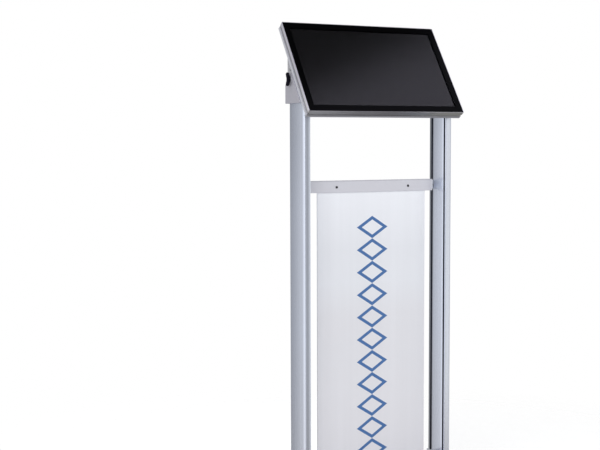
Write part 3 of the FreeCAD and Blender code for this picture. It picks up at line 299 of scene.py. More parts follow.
def moulded(name, colour, roughness, grain=1400.0, depth=0.00006, specular=0.5):
    """Moulded plastic or rubber with a spark-eroded grain."""
    paint = Paint(name).set(specular=specular)
    paint.colour_from(paint.even_noise(40.0, 3), colour, 0.08)
    paint.roughness_from(paint.even_noise(300.0, 2), roughness - 0.07, roughness + 0.07)
    return paint.bump_from(paint.even_noise(grain, 2), depth, 0.35)


# Posts: half their depth, where their front faces begin and how far their faces bow
POST_HALF_DEEP = 0.047
POST_FRONT = 0.0003 - POST_HALF_DEEP
POST_BOW = 0.0025
# By the distance from the stand's middle: the inner and outer side faces, and the floor of the channels
POST_INNER = 0.2313
POST_OUTER = 0.2527
CHANNEL_FLOOR = 0.2405
CHANNEL_HALF_DEEP = POST_HALF_DEEP - 0.0004
# Painted shade inside the channels, as a tint
CHANNEL_PAINTED_SHADE = (0.3, 0.3, 0.32)
# Painted light and shade, as tones that grow to a tint from a start to an end. Along Y: painted shade toward
# the rear of the outer side faces; on the inner ones, painted highlights toward the front and painted shade
# from the rear channel's lip backward
OUTER_PAINTED_SHADE = [(-0.025, 0.047, (0.77, 0.78, 0.81))]
INNER_PAINTED_LIGHT_AND_SHADE = [(0.02, -0.03, (1.1, 1.1, 1.1)), (-0.0262, -0.0272, (1.2, 1.2, 1.2)),
               (0.0200, 0.0212, (0.72, 0.72, 0.72)), (0.0345, 0.0349, (0.6, 0.6, 0.6))]
# Along X: painted highlights and a painted dark groove line on the left post's front, and the right post's
# front a little warmer
LEFT_FRONT_PAINTED_LIGHT_AND_SHADE = [(-0.2462, -0.2478, (1.45, 1.45, 1.43)), (-0.2445, -0.2430, (0.84, 0.84, 0.83)),
              (-0.2405, -0.2390, (1.2, 1.2, 1.2)), (-0.2372, -0.2357, (1.35, 1.35, 1.33))]
RIGHT_TONES = [(0.2320, 0.2330, (1.0, 0.985, 0.94))]
# Along Z: all faces slightly darker and warmer toward the floor, then painted shade on the outer faces and
# the rear of the inner ones toward the head
LOW_TONES = [(0.55, 0.2, (0.98, 0.96, 0.94))]
HEAD_PAINTED_SHADE_OUTER = [(0.90, 1.12, (0.90, 0.90, 0.90))]
HEAD_PAINTED_SHADE_REAR = [(0.965, 0.985, (0.86, 0.86, 0.86))]
REAR_GROWS = (-0.03, 0.02)
# Heights where the crossbars meet the posts; the posts' inner faces there get painted light that offsets the
# bar ends' dark reflection, and more roughness
BAR_HEIGHTS = [(0.0965, 0.1285), (0.9535, 0.985)]
BAR_HEIGHT_PAINTED_LIGHT = (1.12, 1.12, 1.1)
BAR_HEIGHT_ROUGHER = 0.3


def extruded_post(name, colour):
    """Anodised extrusion: drawn streaks, faces slightly bowed front to back, painted shade in its channels
    and painted light and shade on its faces.
    """
    paint = Paint(name).set(metallic=0.82)
    x, y, z = paint.axes()
    share = paint.calc("DIVIDE", y, POST_HALF_DEEP)
    bow = paint.both(paint.both(share, share), -1.0)
    paint.colour_from(paint.drawn_noise("Z", 14.0, 0.7, 4, 0.6), colour, 0.03)
    lines = paint.drawn_noise("Z", 1500.0, 3.0, 2)
    paint.roughness_from(lines, 0.24, 0.33)
    paint.bump_from(bow, POST_BOW, 1.0)
    paint.bump_from(lines, 0.00002, 0.2)
    wide = paint.distance(x)
    channel = paint.both(paint.over(wide, POST_INNER), paint.under(wide, CHANNEL_FLOOR))
    channel = paint.both(channel, paint.under(paint.distance(y), CHANNEL_HALF_DEEP))
    # Painted shade inside the channels
    paint.tinted(channel, CHANNEL_PAINTED_SHADE)
    outer, inner = paint.over(wide, POST_OUTER), paint.under(wide, POST_INNER)
    front = paint.under(y, POST_FRONT)
    # Painted light and shade on the side faces and on the fronts
    paint.toned(y, OUTER_PAINTED_SHADE, outer).toned(y, INNER_PAINTED_LIGHT_AND_SHADE, inner)
    paint.toned(x, LEFT_FRONT_PAINTED_LIGHT_AND_SHADE, paint.both(front, paint.under(x, 0.0))).toned(x, RIGHT_TONES, front)
    # Painted light beside the bar ends, offsetting their dark reflection in the post
    for low, high in BAR_HEIGHTS:
        beside = paint.both(paint.both(paint.over(z, low), paint.under(z, high)), inner)
        paint.tinted(beside, BAR_HEIGHT_PAINTED_LIGHT).rougher(beside, BAR_HEIGHT_ROUGHER)
    # Slightly darker and warmer toward the floor; painted shade toward the head
    rear = paint.both(inner, paint.grown(y, *REAR_GROWS))
    return paint.toned(z, LOW_TONES).toned(z, HEAD_PAINTED_SHADE_OUTER, outer).toned(z, HEAD_PAINTED_SHADE_REAR, rear)


# Heights of the crossbars' upper edges, which are a little darker, and how far from them that goes
BAR_TOPS = [0.130, 0.9867]
BAR_EDGE = 0.0028
BAR_EDGE_TINT = (0.86, 0.86, 0.87)


def bar_metal(name, colour):
    """Satin anodised crossbar, drawn along its length, with a darker upper edge."""
    paint = Paint(name).set(metallic=0.25)
    lines = paint.drawn_noise("X", FINE_STREAKS, LONG_STREAKS, 2)
    paint.colour_from(paint.drawn_noise("X", FINE_CLOUDS, LONG_CLOUDS, 4, 0.6), colour, 0.02)
    paint.roughness_from(lines, 0.44, 0.56)
    paint.bump_from(lines, 0.00004, 0.25)
    z = paint.axes()["Z"]
    for top in BAR_TOPS:
        paint.tinted(paint.under(paint.distance(z, top), BAR_EDGE), BAR_EDGE_TINT)
    return paint


# Painted light and shade up the information panel, paler at its top, and where its side edges begin, across
# the stand, which get painted light
PANEL_PAINTED_LIGHT_AND_SHADE = [(0.78, 0.96, (1.12, 1.12, 1.12)), (0.68, 0.58, (0.962, 0.945, 0.94)),
               (0.45, 0.2, (1.03, 1.02, 1.02))]
PANEL_EDGE = 0.1853
PANEL_EDGE_PAINTED_LIGHT = [(0.2, 0.7, (1.12, 1.12, 1.12))]


def panel_white(name, colour):
    """Pale satin sheet with the faint upright streaks of an extruded plastic, and painted light that makes it
    paler at its top and on its side edges.
    """
    paint = Paint(name).set(specular=0.45, coat=0.15, coat_roughness=0.25)
    streaks = paint.drawn_noise("Z", 22.0, 0.5, 3, 0.6)
    paint.colour_from(streaks, colour, 0.02)
    place = paint.axes()
    edge = paint.over(paint.distance(place["X"]), PANEL_EDGE)
    # Painted light toward the top and on the side edges, painted shade lower down
    paint.toned(place["Z"], PANEL_PAINTED_LIGHT_AND_SHADE).toned(place["Z"], PANEL_EDGE_PAINTED_LIGHT, edge)
    paint.roughness_from(paint.drawn_noise("Z", 260.0, 8.0, 2), 0.32, 0.44)
    return paint.bump_from(streaks, 0.0004, 0.15)


# Clear window in the cover glass, in the head's frame, and how much of the glass is seen there
WINDOW_HALF = 0.2398
WINDOW_LOW = 0.0212
WINDOW_HIGH = 0.3010
WINDOW_ALPHA = 0.22


def screen_glass(name, colour):
    """Cover glass with a black border printed on its back and a clear window over the screen."""
    paint = Paint(name).set(color=colour, roughness=0.04, specular=0.022)
    parts = paint.in_head()
    across = paint.under(paint.distance(parts["X"]), WINDOW_HALF)
    height = paint.distance(parts["Z"], (WINDOW_LOW + WINDOW_HIGH) / 2)
    window = paint.both(across, paint.under(height, (WINDOW_HIGH - WINDOW_LOW) / 2))
    paint.link(paint.between(window, 1.0, WINDOW_ALPHA, 0.0, 1.0), paint.shader.inputs["Alpha"])
    return paint


def screen_face(name, colour):
    """The dark, slightly hazy face of a screen that is switched off."""
    paint = Paint(name).set(specular=0.8)
    paint.colour_from(paint.even_noise(30.0, 2), colour, 0.05)
    paint.roughness_from(paint.even_noise(700.0, 2), 0.09, 0.12)
    return paint.bump_from(paint.even_noise(2400.0, 1), 0.000005, 0.1)


# The head's frame piece, in the head's own coordinates. Its sides: where they begin, their tint, a painted
# groove shadow along Y that is partly lifted further back, and tones toward the lower end
FRAME_SIDE = GLASS_HALF - 0.001
FRAME_SIDE_TINT = (1.03, 1.02, 1.1)
FRAME_SIDE_PAINTED_SHADE = [(0.0096, 0.0106, (0.42, 0.42, 0.42)), (0.0176, 0.0186, (1.9, 1.9, 1.9))]
FRAME_LOW_TONES = [(0.1, 0.03, (1.25, 1.25, 1.22))]
# Its underside: how high that reaches, its painted shade, its darkest place, painted shade toward that and
# painted light along X
FRAME_UNDER = 0.0025
FRAME_UNDER_PAINTED_SHADE = (0.66, 0.65, 0.63)
FRAME_DARKEST = -0.05
FRAME_UNDER_SHADE_TONES = [(0.18, 0.05, (0.61, 0.6, 0.61))]
FRAME_UNDER_LIGHT_TONES = [(0.08, 0.16, (1.3, 1.3, 1.28))]


def frame_metal(name, colour):
    """Brushed silver frame, with painted shade and painted light on its underside and a painted groove shadow
    on its sides.
    """
    paint = Paint(name).set(metallic=0.9)
    lines = paint.drawn_noise("X", 1800.0, LONG_STREAKS, 2)
    paint.colour_from(paint.drawn_noise("X", FINE_CLOUDS, LONG_CLOUDS, 4, 0.6), colour, 0.03)
    paint.roughness_from(lines, 0.26, 0.34)
    paint.bump_from(lines, 0.00002, 0.25)
    parts = paint.in_head()
    # Painted shade and painted light on the underside
    under = paint.under(parts["Z"], FRAME_UNDER)
    paint.tinted(under, FRAME_UNDER_PAINTED_SHADE)
    paint.toned(paint.distance(parts["X"], FRAME_DARKEST), FRAME_UNDER_SHADE_TONES, under)
    paint.toned(parts["X"], FRAME_UNDER_LIGHT_TONES, under)
    side = paint.over(paint.distance(parts["X"]), FRAME_SIDE)
    # Painted groove shadow along the sides
    paint.toned(parts["Y"], FRAME_SIDE_PAINTED_SHADE, side).toned(parts["Z"], FRAME_LOW_TONES, side)
    return paint.tinted(side, FRAME_SIDE_TINT)


# The brackets' front edges, by their depth in the head's frame, with painted light against the shade by the
# shell, and the shell's underside, by its height, with painted shade
BRACKET_EDGE = HEAD_DEEP + 8.2 * MM
BRACKET_EDGE_PAINTED_LIGHT = (1.6, 1.6, 1.62)
SHELL_UNDER = 0.0035
SHELL_UNDER_PAINTED_SHADE = (0.62, 0.61, 0.61)


def bracket_coat(name, colour):
    """Grey coat of the head brackets, with painted light on the edge that faces the head."""
    paint = coated(name, colour, 0.42, metallic=0.3)
    # Painted light on the front edge, where the shell shades it
    return paint.tinted(paint.under(paint.in_head()["Y"], BRACKET_EDGE), BRACKET_EDGE_PAINTED_LIGHT)


def shell_coat(name, colour):
    """Satin grey coat of the rear shell, with painted shade underneath."""
    paint = coated(name, colour, 0.45, metallic=0.25, grain=700.0)
    # Painted shade on the underside
    return paint.tinted(paint.under(paint.in_head()["Z"], SHELL_UNDER), SHELL_UNDER_PAINTED_SHADE)


def circuit(name):
    """Green solder mask with paler copper runs and rows of pads."""
    paint = Paint(name).set(roughness=0.4)
    brick = paint.add("ShaderNodeTexBrick")
    values = {"Scale": 1.0, "Color1": srgb(16, 84, 44), "Color2": srgb(22, 102, 54),
              "Mortar": srgb(70, 140, 82), "Mortar Size": 0.03, "Brick Width": 0.9, "Row Height": 0.35}
    for socket, value in values.items():
        brick.inputs[socket].default_value = value
    paint.link(paint.stretched([160.0] * 3, (-TILT, 0, 0)), brick.inputs["Vector"])
    paint.link(brick.outputs["Color"], paint.shader.inputs["Base Color"])
    return paint.bump_from(paint.even_noise(900.0, 2), 0.0001)


def print_ink(name, colour):
    """Satin ink of the print on the information panel."""
    paint = Paint(name).set(specular=0.35)
    paint.colour_from(paint.even_noise(120.0, 3), colour, 0.06)
    paint.roughness_from(paint.even_noise(500.0, 2), 0.4, 0.5)
    return paint.bump_from(paint.even_noise(1500.0, 2), 0.00002)


STEEL = srgb(176, 177, 180)
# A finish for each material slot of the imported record, with its colour and mostly its roughness
FINISHES = {
    "base_steel": coated("base_coat", srgb(176, 178, 186), 0.45, metallic=0.3),
    "rubber": moulded("foot_rubber", srgb(30, 30, 32), 0.75),
    "foot_casting": coated("foot_coat", srgb(168, 170, 178), 0.42, metallic=0.35, grain=600.0),
    "screw_steel": brushed("screw_zinc", STEEL, 0.3, "Z"),
    "post_aluminium": extruded_post("post_anodised", srgb(199, 205, 219)),
    "bar_aluminium": bar_metal("bar_anodised", srgb(213, 213, 221)),
    "cap_plastic": moulded("bar_cap", srgb(238, 239, 242), 0.5),
    "bracket_steel": coated("bracket_zinc", srgb(206, 208, 214), 0.5, metallic=0.2, grain=600.0),
    "nut_steel": brushed("nut_zinc", STEEL, 0.34, "Z"),
    "dark_screw": coated("screw_black", srgb(34, 34, 37), 0.38, metallic=0.4),
    "panel_white": panel_white("panel_sheet", srgb(229, 231, 237)),
    "bracket_casting": bracket_coat("bracket_coat", srgb(164, 163, 172)),
    "friction_fibre": moulded("friction_fibre", srgb(60, 54, 50), 0.8, grain=500.0, depth=0.0002),
    "ear_steel": coated("ear_coat", srgb(166, 166, 172), 0.4, metallic=0.35),
    "rod_steel": brushed("rod_steel", STEEL, 0.28, "X"),
    "frame_metal": frame_metal("frame_brushed", srgb(200, 200, 202)),
    "screen_glass": screen_glass("cover_glass_black_border", srgb(4, 4, 5)),
    "screen_module": screen_face("screen_face_off", srgb(11, 10, 14)),
    "light_tray": coated("light_tray", srgb(196, 198, 200), 0.35, metallic=0.6),
    "shell_metal": shell_coat("shell_coat", srgb(186, 187, 194)),
    "circuit_board": circuit("circuit_board"),
    "black_plastic": moulded("black_plastic", srgb(28, 28, 30), 0.5),
    "socket_metal": brushed("socket_tin", srgb(190, 190, 192), 0.25, "X"),
    "button_plastic": moulded("button_plastic", srgb(52, 52, 56), 0.4),
    "knob_plastic": moulded("knob_plastic", srgb(17, 16, 26), 0.5, grain=1100.0, depth=0.00008,
                            specular=0.03),
    "stud_steel": brushed("stud_steel", STEEL, 0.3, "Y"),
}
MATERIALS = {slot: paint.material for slot, paint in FINISHES.items()}
NODE_SLOT = {part["node"]: part["material_slot"] for part in frame["record"]["subparts"]}

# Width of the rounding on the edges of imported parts, and the least angle of an edge that gets it
EDGE_BREAK = 0.25 * MM
EDGE_ANGLE = math.radians(40)


def dress_nodes():
    """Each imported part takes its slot's finish and slightly rounded edges."""
    for node, item in frame["nodes"].items():
        for holder in item.material_slots:
            holder.material = MATERIALS[NODE_SLOT[node]]
        if not item.material_slots:
            item.data.materials.append(MATERIALS[NODE_SLOT[node]])
        edge = item.modifiers.new("edge_break", "BEVEL")
        edge.width = EDGE_BREAK
        edge.segments = 2
        edge.limit_method = "ANGLE"
        edge.angle_limit = EDGE_ANGLE
        edge.harden_normals = True
        edge.use_clamp_overlap = True


# Mesh helpers


def linked(name, data):
    """A new object in the scene."""
    item = bpy.data.objects.new(name, data)
    bpy.context.scene.collection.objects.link(item)
    return item


def piece(name, mesh, body, slot, replaced):
    """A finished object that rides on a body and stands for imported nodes."""
    item = linked(name, mesh)
    item.data.materials.append(MATERIALS[slot])
    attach(item, body)
    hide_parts(*replaced)


def mesh_from(name, work, smooth_angle=35):
    mesh = bpy.data.meshes.new(name)
    bmesh.ops.recalc_face_normals(work, faces=work.faces)
    work.to_mesh(mesh)
    work.free()
    mesh.shade_smooth()
    mesh.set_sharp_from_angle(angle=math.radians(smooth_angle))
    return mesh


def skin_rings(work, rings, matrix):
    """Joins rings of equally many points; a ring of one point closes an end."""
    made = [[work.verts.new(matrix @ Vector(point)) for point in ring] for ring in rings]
    for lower, upper in zip(made, made[1:]):
        count = max(len(lower), len(upper))
        for i in range(count):
            j = (i + 1) % count
            if len(lower) == 1:
                work.faces.new((lower[0], upper[i], upper[j]))
            elif len(upper) == 1:
                work.faces.new((lower[i], lower[j], upper[0]))
            else:
                work.faces.new((lower[i], lower[j], upper[j], upper[i]))


RING_POINTS = 36
RING_TURNS = [2 * math.pi * k / RING_POINTS for k in range(RING_POINTS)]


def round_ring(radius, height):
    if radius <= 0:
        return [(0, 0, height)]
    return [(radius * math.cos(turn), radius * math.sin(turn), height) for turn in RING_TURNS]


def hex_ring(half_flats, height):
    """A hexagon with as many points as a round ring."""
    points = []
    for turn in RING_TURNS:
        corner = (turn + math.pi / 6) % (math.pi / 3) - math.pi / 6
        radius = half_flats / math.cos(corner)
        points.append((radius * math.cos(turn), radius * math.sin(turn), height))
    return points


def turned_piece(work, profile, matrix):
    """A solid of revolution about the matrix's Z; profile is (radius, height)."""
    skin_rings(work, [round_ring(radius, height) for radius, height in profile], matrix)


def facing(direction, place):
    """Matrix whose Z points along a direction from a place."""
    turn = Vector(direction).to_track_quat("Z", "Y").to_matrix().to_4x4()
    return Matrix.Translation(place) @ turn


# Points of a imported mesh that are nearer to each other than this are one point
SAME_POINT = 1e-6


def solids_of(node):
    """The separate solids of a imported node, in the order of its mesh, each as its list of points."""
    work = bmesh.new()
    work.from_mesh(frame["nodes"][node].data)
    bmesh.ops.remove_doubles(work, verts=work.verts, dist=SAME_POINT)
    seen = set()
    found = []
    for start in work.verts:
        if start in seen:
            continue
        seen.add(start)
        island, front = [], [start]
        while front:
            vertex = front.pop()
            island.append(vertex.co.copy())
            for edge in vertex.link_edges:
                other = edge.other_vert(vertex)
                if other not in seen:
                    seen.add(other)
                    front.append(other)
        found.append(island)
    work.free()
    return found


def middle_of(points):
    low = Vector([min(point[k] for point in points) for k in range(3)])
    high = Vector([max(point[k] for point in points) for k in range(3)])
    return (low + high) / 2


# Screws with real drive recesses

# For each node: its body, where the heads point, then the head's radius and height, the half width of its
# hexagon socket in mm, and the head's form
SCREWS = {
    "base_screws": ("stand", (0, 0, -1), 6.5, 4.0, 2.5, "cap"),
    "slot_screws": ("stand", "inward", 4.7, 2.7, 1.5, "button"),
    "crossbar_screws": ("stand", (0, 1, 0), 4.7, 2.7, 1.5, "button"),
    "panel_screws": ("stand", (0, -1, 0), 3.6, 2.2, 1.25, "button"),
    "ear_screws": ("head", "head_back", 4.7, 2.7, 1.5, "button"),
    "tie_rod_screws": ("head", "outward", 5.0, 2.8, 1.5, "button"),
    "shell_screws": ("head", "head_back", 3.0, 1.8, 1.0, "button"),
    "cover_screws": ("head", "head_back", 3.4, 2.0, 1.1, "button"),
}
# A screw's rings as (radius, height). The shank's radius is a share of the head's, and its tip is in shares
# of its own radius. The rim and the top of a head are in shares of its radius and height
SHANK = 0.5
TIP = [(0, 0), (0.8, 0), (1, 0.2)]
RIM = [(0.97, 0), (1, 0.06)]
# The top of a cap head has a rounded edge, and that of a button head is a dome with a flat middle
DOME_TURNS = [math.radians(turn) for turn in (25, 50, 70)]
DOME = [(0.55 + 0.45 * math.cos(turn), 0.3 + 0.7 * math.sin(turn)) for turn in DOME_TURNS]
HEAD_TOPS = {"cap": [(1, 0.85), (0.93, 1)], "button": DOME + [(0.6, 1)]}
# The hexagon socket, in shares of its half width and the head's height, and the cone at its bottom
SOCKET = [(1.12, 1), (1, 0.88), (1, 0.4)]
SOCKET_CONE = 0.25


def screw_direction(out, middle):
    if out == "head_back":
        return HEAD.to_3x3() @ Vector((0, 1, 0))
    if out in ("inward", "outward"):
        side = math.copysign(1, middle.x)
        return Vector((-side if out == "inward" else side, 0, 0))
    return Vector(out)


def screw_profile(form, head, high, key, shank, long):
    """Rings from the tip of the shank over the head and down into the hexagon socket."""
    rings = [round_ring(shank * wide, shank * up - long) for wide, up in TIP]
    rings.append(round_ring(shank, 0))
    rings += [round_ring(head * wide, high * up) for wide, up in RIM + HEAD_TOPS[form]]
    rings += [hex_ring(key * wide, high * up) for wide, up in SOCKET]
    rings.append(round_ring(0, high * SOCKET[-1][1] - key * SOCKET_CONE))
    return rings


def detailed_screws():
    for node, (body, out, head, high, key, form) in SCREWS.items():
        work = bmesh.new()
        head, high, key = head * MM, high * MM, key * MM
        for points in solids_of(node):
            middle = middle_of(points)
            direction = screw_direction(out, middle)
            reach = [(point - middle).dot(direction) for point in points]
            top, tip = max(reach), min(reach)
            seat = middle + direction * (top - high)
            profile = screw_profile(form, head, high, key, head * SHANK, top - high - tip)
            skin_rings(work, profile, facing(direction, seat))
        mesh = mesh_from(node + "_detailed", work)
        piece(node + "_detailed", mesh, body, NODE_SLOT[node], [node])


# Rubber feet with a ribbed rim and a screw recess

# The recess as (radius, height), the rim's bottom as (in from the rim, height), and one rib as (in from the
# rim, up from its start), all in mm
FOOT_RECESS = [(0, 1.6), (6, 1.6), (6.4, 0)]
FOOT_BOTTOM = [(2.4, 0), (0.8, 0.8)]
FOOT_RIB = [(0, 0), (0, 0.45), (0.5, 0.7)]
FOOT_RIB_STARTS = [1.4, 2.5, 3.6]
FOOT_TOP_IN = 0.4


def detailed_feet():
    work = bmesh.new()
    for points in solids_of("rubber_feet"):
        middle = middle_of(points)
        radius = max(point.x for point in points) - middle.x
        high = 2 * middle.z
        profile = [(out * MM, rise * MM) for out, rise in FOOT_RECESS]
        profile += [(radius - back * MM, rise * MM) for back, rise in FOOT_BOTTOM]
        for start in FOOT_RIB_STARTS:
            profile += [(radius - back * MM, (start + rise) * MM) for back, rise in FOOT_RIB]
        profile += [(radius - FOOT_TOP_IN * MM, high), (0, high)]
        turned_piece(work, profile, Matrix.Translation((middle.x, middle.y, 0)))
    piece("rubber_feet_ribbed", mesh_from("rubber_feet_ribbed", work), "stand", "rubber", ["rubber_feet"])


# Wing knobs with full lobes, a shallow hollow between them and a low hub

# Slices from the end of a wing to the knob's middle: distance, bottom, top and half thickness in mm
KNOB_SLICES = [(20.0, 5.2, 5.2, 0.0), (19.7, 3.6, 6.9, 2.6), (18.8, 2.3, 8.1, 4.4), (17.2, 1.6, 8.8, 5.7),
               (14.5, 1.1, 9.0, 6.3), (11.5, 0.8, 8.7, 6.4), (8.0, 0.5, 7.9, 6.2), (4.0, 0.3, 7.1, 5.9),
               (0.0, 0.3, 6.9, 5.8)]
# The hub as (radius, height) in mm
KNOB_HUB = [(0, 0), (6.1, 0), (6.5, 0.4), (6.5, 2.4), (6.1, 2.9), (0, 2.9)]
# Edges of the knob with a greater angle than this, in degrees, stay sharp
KNOB_SMOOTH = 50


def wing_ring(along, bottom, top, half):
    """A rounded section across the wings."""
    if half <= 0:
        return [(0, along * MM, bottom * MM)]
    points = []
    for turn in RING_TURNS:
        across, rise = [math.copysign(abs(value) ** 0.5, value) for value in (math.cos(turn), math.sin(turn))]
        points.append((half * across * MM, along * MM, ((bottom + top) + (top - bottom) * rise) / 2 * MM))
    return points


def detailed_knobs():
    for name, side in (("left", -1), ("right", 1)):
        node = "clamp_knob_" + name
        low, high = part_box(node)
        seat = Vector((high.x if side < 0 else low.x, (low.y + high.y) / 2, (low.z + high.z) / 2))
        axes = Matrix(((0, -side, 0), (0, 0, 1), (side, 0, 0))).transposed()
        matrix = Matrix.Translation(seat) @ axes.to_4x4()
        slices = [(-along, bottom, top, half) for along, bottom, top, half in KNOB_SLICES]
        slices += KNOB_SLICES[-2::-1]
        work = bmesh.new()
        skin_rings(work, [wing_ring(*part) for part in slices], matrix)
        turned_piece(work, [(radius * MM, height * MM) for radius, height in KNOB_HUB], matrix)
        mesh = mesh_from(node + "_sculpted", work, KNOB_SMOOTH)
        piece(node + "_sculpted", mesh, "knob_" + name, "knob_plastic", [node])


# Generic print on the information panel, where the photograph has words: a row of open lozenges

# Top of the row above the floor, half width and half height of a lozenge, from one to the next, their
# number, the width of the line, how thick the film is and how far it reaches into the panel's face
PRINT_TOP = 0.879
PRINT_HALF = 0.0445
PRINT_MARK = 0.0285
PRINT_PITCH = 0.0682
PRINT_COUNT = 11
PRINT_STROKE = 0.0092
PRINT_THICK = 0.00012
PRINT_SUNK = 0.00002


def outlined(work, points, front, back):
    """A closed mitred line of even width round the points, as a thin raised film."""
    count = len(points)
    outer, inner = [], []
    for i, point in enumerate(points):
        before = (point - points[i - 1]).normalized()
        after = (points[(i + 1) % count] - point).normalized()
        mean = (before + after).normalized()
        across = Vector((-mean.y, mean.x)) * (PRINT_STROKE / 2 / mean.dot(before))
        outer.append(point - across)
        inner.append(point + across)
    rings = [[work.verts.new((side.x, y, side.y)) for side in line]
             for line, y in ((outer, back), (outer, front), (inner, front), (inner, back))]
    for a, b in zip(rings, rings[1:] + rings[:1]):
        for i in range(count):
            j = (i + 1) % count
            work.faces.new((a[i], a[j], b[j], b[i]))


def panel_print():
    low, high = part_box("info_panel")
    front, back = low.y - PRINT_THICK, low.y + PRINT_SUNK
    work = bmesh.new()
    corners = [(-PRINT_HALF, 0), (0, -PRINT_MARK), (PRINT_HALF, 0), (0, PRINT_MARK)]
    for k in range(PRINT_COUNT):
        middle = Vector((0, PRINT_TOP - PRINT_PITCH * (k + 0.5)))
        outlined(work, [middle + Vector(corner) for corner in corners], front, back)
    item = linked("panel_print", mesh_from("panel_print", work))
    item.data.materials.append(print_ink("print_ink", srgb(70, 112, 168)).material)
    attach(item, "stand")


# Studio

# Floor: radius of its full colour and of its faded rim, how far it lies below the feet, and how much light
# the camera alone sees it add, so that it is as white as the backdrop and keeps the stand's shadow
FLOOR_FULL = 0.75
FLOOR_EDGE = 1.7
FLOOR_SINK = 0.0005
FLOOR_GREY = (0.87, 0.87, 0.87, 1)
FLOOR_LIFT = 0.18
WHITE = (1, 1, 1, 1)


def floor():
    """Pale floor that takes the stand's shadow and fades into the white round it."""
    work = bmesh.new()
    bmesh.ops.create_circle(work, cap_ends=True, radius=FLOOR_EDGE, segments=96)
    mesh = bpy.data.meshes.new("studio_floor")
    work.to_mesh(mesh)
    work.free()
    item = linked("studio_floor", mesh)
    item.location.z = -FLOOR_SINK
    paint = Paint("studio_floor").set(specular=0.1, roughness=0.8)
    paint.colour_from(paint.even_noise(2.0, 3), FLOOR_GREY, 0.01)
    length = paint.add("ShaderNodeVectorMath", operation="LENGTH")
    paint.link(paint.coordinates, length.inputs[0])
    faded = paint.between(length.outputs["Value"], 1.0, 0.0, FLOOR_FULL, FLOOR_EDGE)
    paint.link(faded, paint.shader.inputs["Alpha"])
    rays = paint.add("ShaderNodeLightPath").outputs
    paint.shader.inputs["Emission Color"].default_value = WHITE
    paint.link(paint.both(rays["Is Camera Ray"], FLOOR_LIFT), paint.shader.inputs["Emission Strength"])
    clear = paint.add("ShaderNodeBsdfTransparent")
    mix = paint.either(rays["Is Glossy Ray"], paint.shader, clear)
    paint.link(mix.outputs[0], paint.tree.nodes["Material Output"].inputs["Surface"])
    item.data.materials.append(paint.material)


# The room's light as a plain fill, and its strength for gloss, by which the greys below are divided
ROOM_FILL = 0.75
ROOM_FILL_COLOUR = (0.985, 0.99, 1.0, 1)
ROOM_GLOSS = 1.5
# What metal sees round the stand at eye height: share of a turn from straight behind by way of the left
ROOM_TURN = [(0.0, 0.38), (0.05, 0.5), (0.085, 0.7), (0.125, 0.95), (0.25, 1.25), (0.36, 1.4), (0.43, 1.35),
             (0.46, 0.7), (0.49, 0.42), (0.6, 0.5), (0.65, 0.75), (0.75, 0.9), (0.88, 0.6), (0.96, 0.22),
             (1.0, 0.38)]
# Grey overhead and below, and between which upward or downward parts of the direction each grows
ROOM_CEILING = 0.13
ROOM_CEILING_GROWS = (0.3, 0.75)
ROOM_UNDER = 0.3
ROOM_UNDER_GROWS = (0.3, 0.65)
# Pale field high on the right, mirrored by the leaning screen: the way in which it grows, its ends, and how
# high it begins
GLOW_ALONG = (0.375, -0.807, -0.456)
GLOW_GROWS = (-0.0165, 0.026)
GLOW_RISES = (0.68, 0.74)
GLOW_COLOUR = (1.42, 1.38, 1.63)


def world():
    """White for the camera and through glass, a plain grey fill for the rest, and a graded room for gloss."""
    made = bpy.data.worlds.new("studio")
    bpy.context.scene.world = made
    made.use_nodes = True
    made.cycles.sampling_method = "NONE"
    nodes = Nodes(made.node_tree)

    def background(node, colour, strength):
        node.inputs["Color"].default_value = colour
        node.inputs["Strength"].default_value = strength
        return node

    white = background(made.node_tree.nodes["Background"], WHITE, 1.0)
    fill = background(nodes.add("ShaderNodeBackground"), ROOM_FILL_COLOUR, ROOM_FILL)
    room = background(nodes.add("ShaderNodeBackground"), WHITE, ROOM_GLOSS)
    nodes.link(room_colour(nodes), room.inputs["Color"])
    rays = nodes.add("ShaderNodeLightPath").outputs
    seen = nodes.calc("MAXIMUM", rays["Is Camera Ray"], rays["Is Transmission Ray"])
    mix = nodes.either(seen, nodes.either(rays["Is Glossy Ray"], fill, room), white)
    nodes.link(mix.outputs[0], made.node_tree.nodes["World Output"].inputs["Surface"])


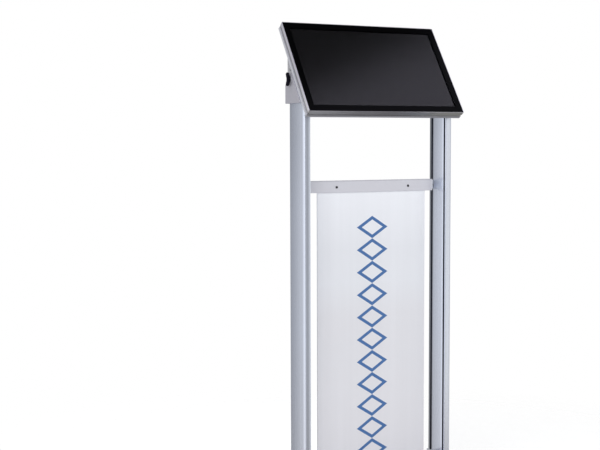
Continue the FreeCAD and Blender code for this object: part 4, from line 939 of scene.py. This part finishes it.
def room_colour(nodes):
    """Grey of the room by direction: brighter to the left and right, darker behind the viewer and below."""
    def grey(value):
        return [value / ROOM_GLOSS] * 3

    def smooth(value, ends):
        return nodes.grown(value, *ends, "SMOOTHSTEP")

    x, y, z = nodes.parts(nodes.add("ShaderNodeTexCoord").outputs["Generated"])
    angle = nodes.calc("ARCTAN2", x, nodes.both(y, -1.0))
    turn = nodes.calc("ADD", nodes.calc("DIVIDE", angle, 2 * math.pi), 0.5)
    colour = nodes.ramp(turn, [(place, (*grey(value), 1)) for place, value in ROOM_TURN])
    colour = nodes.mixed(smooth(z, ROOM_CEILING_GROWS), colour, grey(ROOM_CEILING))
    along = [nodes.both(axis, share) for axis, share in zip((x, y, z), GLOW_ALONG)]
    reach = nodes.calc("ADD", nodes.calc("ADD", along[0], along[1]), along[2])
    glow = nodes.both(smooth(reach, GLOW_GROWS), smooth(z, GLOW_RISES))
    colour = nodes.mixed(glow, colour, [part / ROOM_GLOSS for part in GLOW_COLOUR])
    return nodes.mixed(smooth(nodes.both(z, -1.0), ROOM_UNDER_GROWS), colour, grey(ROOM_UNDER))


# Softboxes: name, place, what they face, width, height and watts
LAMPS = [("key_left", (-2.4, -2.0, 2.7), (0, 0, 0.9), 2.4, 2.4, 40),
         ("top", (-0.8, 0.7, 3.4), (0, 0, 1.0), 1.7, 1.7, 26),
         ("strip_right", (1.55, -1.8, 0.9), (0.24, -0.04, 0.65), 0.75, 2.8, 6.1)]


def lights():
    for name, place, target, wide, high, power in LAMPS:
        lamp = bpy.data.lights.new(name, "AREA")
        lamp.shape = "RECTANGLE"
        lamp.size = wide
        lamp.size_y = high
        lamp.energy = power
        item = linked(name, lamp)
        item.location = place
        item.rotation_euler = (Vector(target) - Vector(place)).to_track_quat("-Z", "Y").to_euler()


# The camera that the photograph was fitted with: place, turns, and lens in mm on its sensor
CAMERA_PLACE = Vector((-1.704, -3.011, 1.101))
CAMERA_TURN = math.radians(-25.89)
CAMERA_DIP = math.radians(-4.13)
CAMERA_ROLL = math.radians(-0.18)
CAMERA_LENS = 68.76
CAMERA_SENSOR = 36


def camera():
    turn = Matrix.Rotation(-CAMERA_ROLL, 3, "Y").inverted() @ Matrix.Rotation(-CAMERA_DIP, 3, "X")
    right, forward, up = turn @ Matrix.Rotation(-CAMERA_TURN, 3, "Z")
    lens = bpy.data.cameras.new("photograph")
    lens.lens = CAMERA_LENS
    lens.sensor_width = CAMERA_SENSOR
    item = linked("photograph", lens)
    axes = Matrix((right, up, -forward)).transposed()
    item.matrix_world = Matrix.Translation(CAMERA_PLACE) @ axes.to_4x4()
    bpy.context.scene.camera = item


dress_nodes()
detailed_screws()
detailed_feet()
detailed_knobs()
panel_print()
floor()
world()
lights()
camera()
bpy.context.scene.view_settings.view_transform = "Standard"
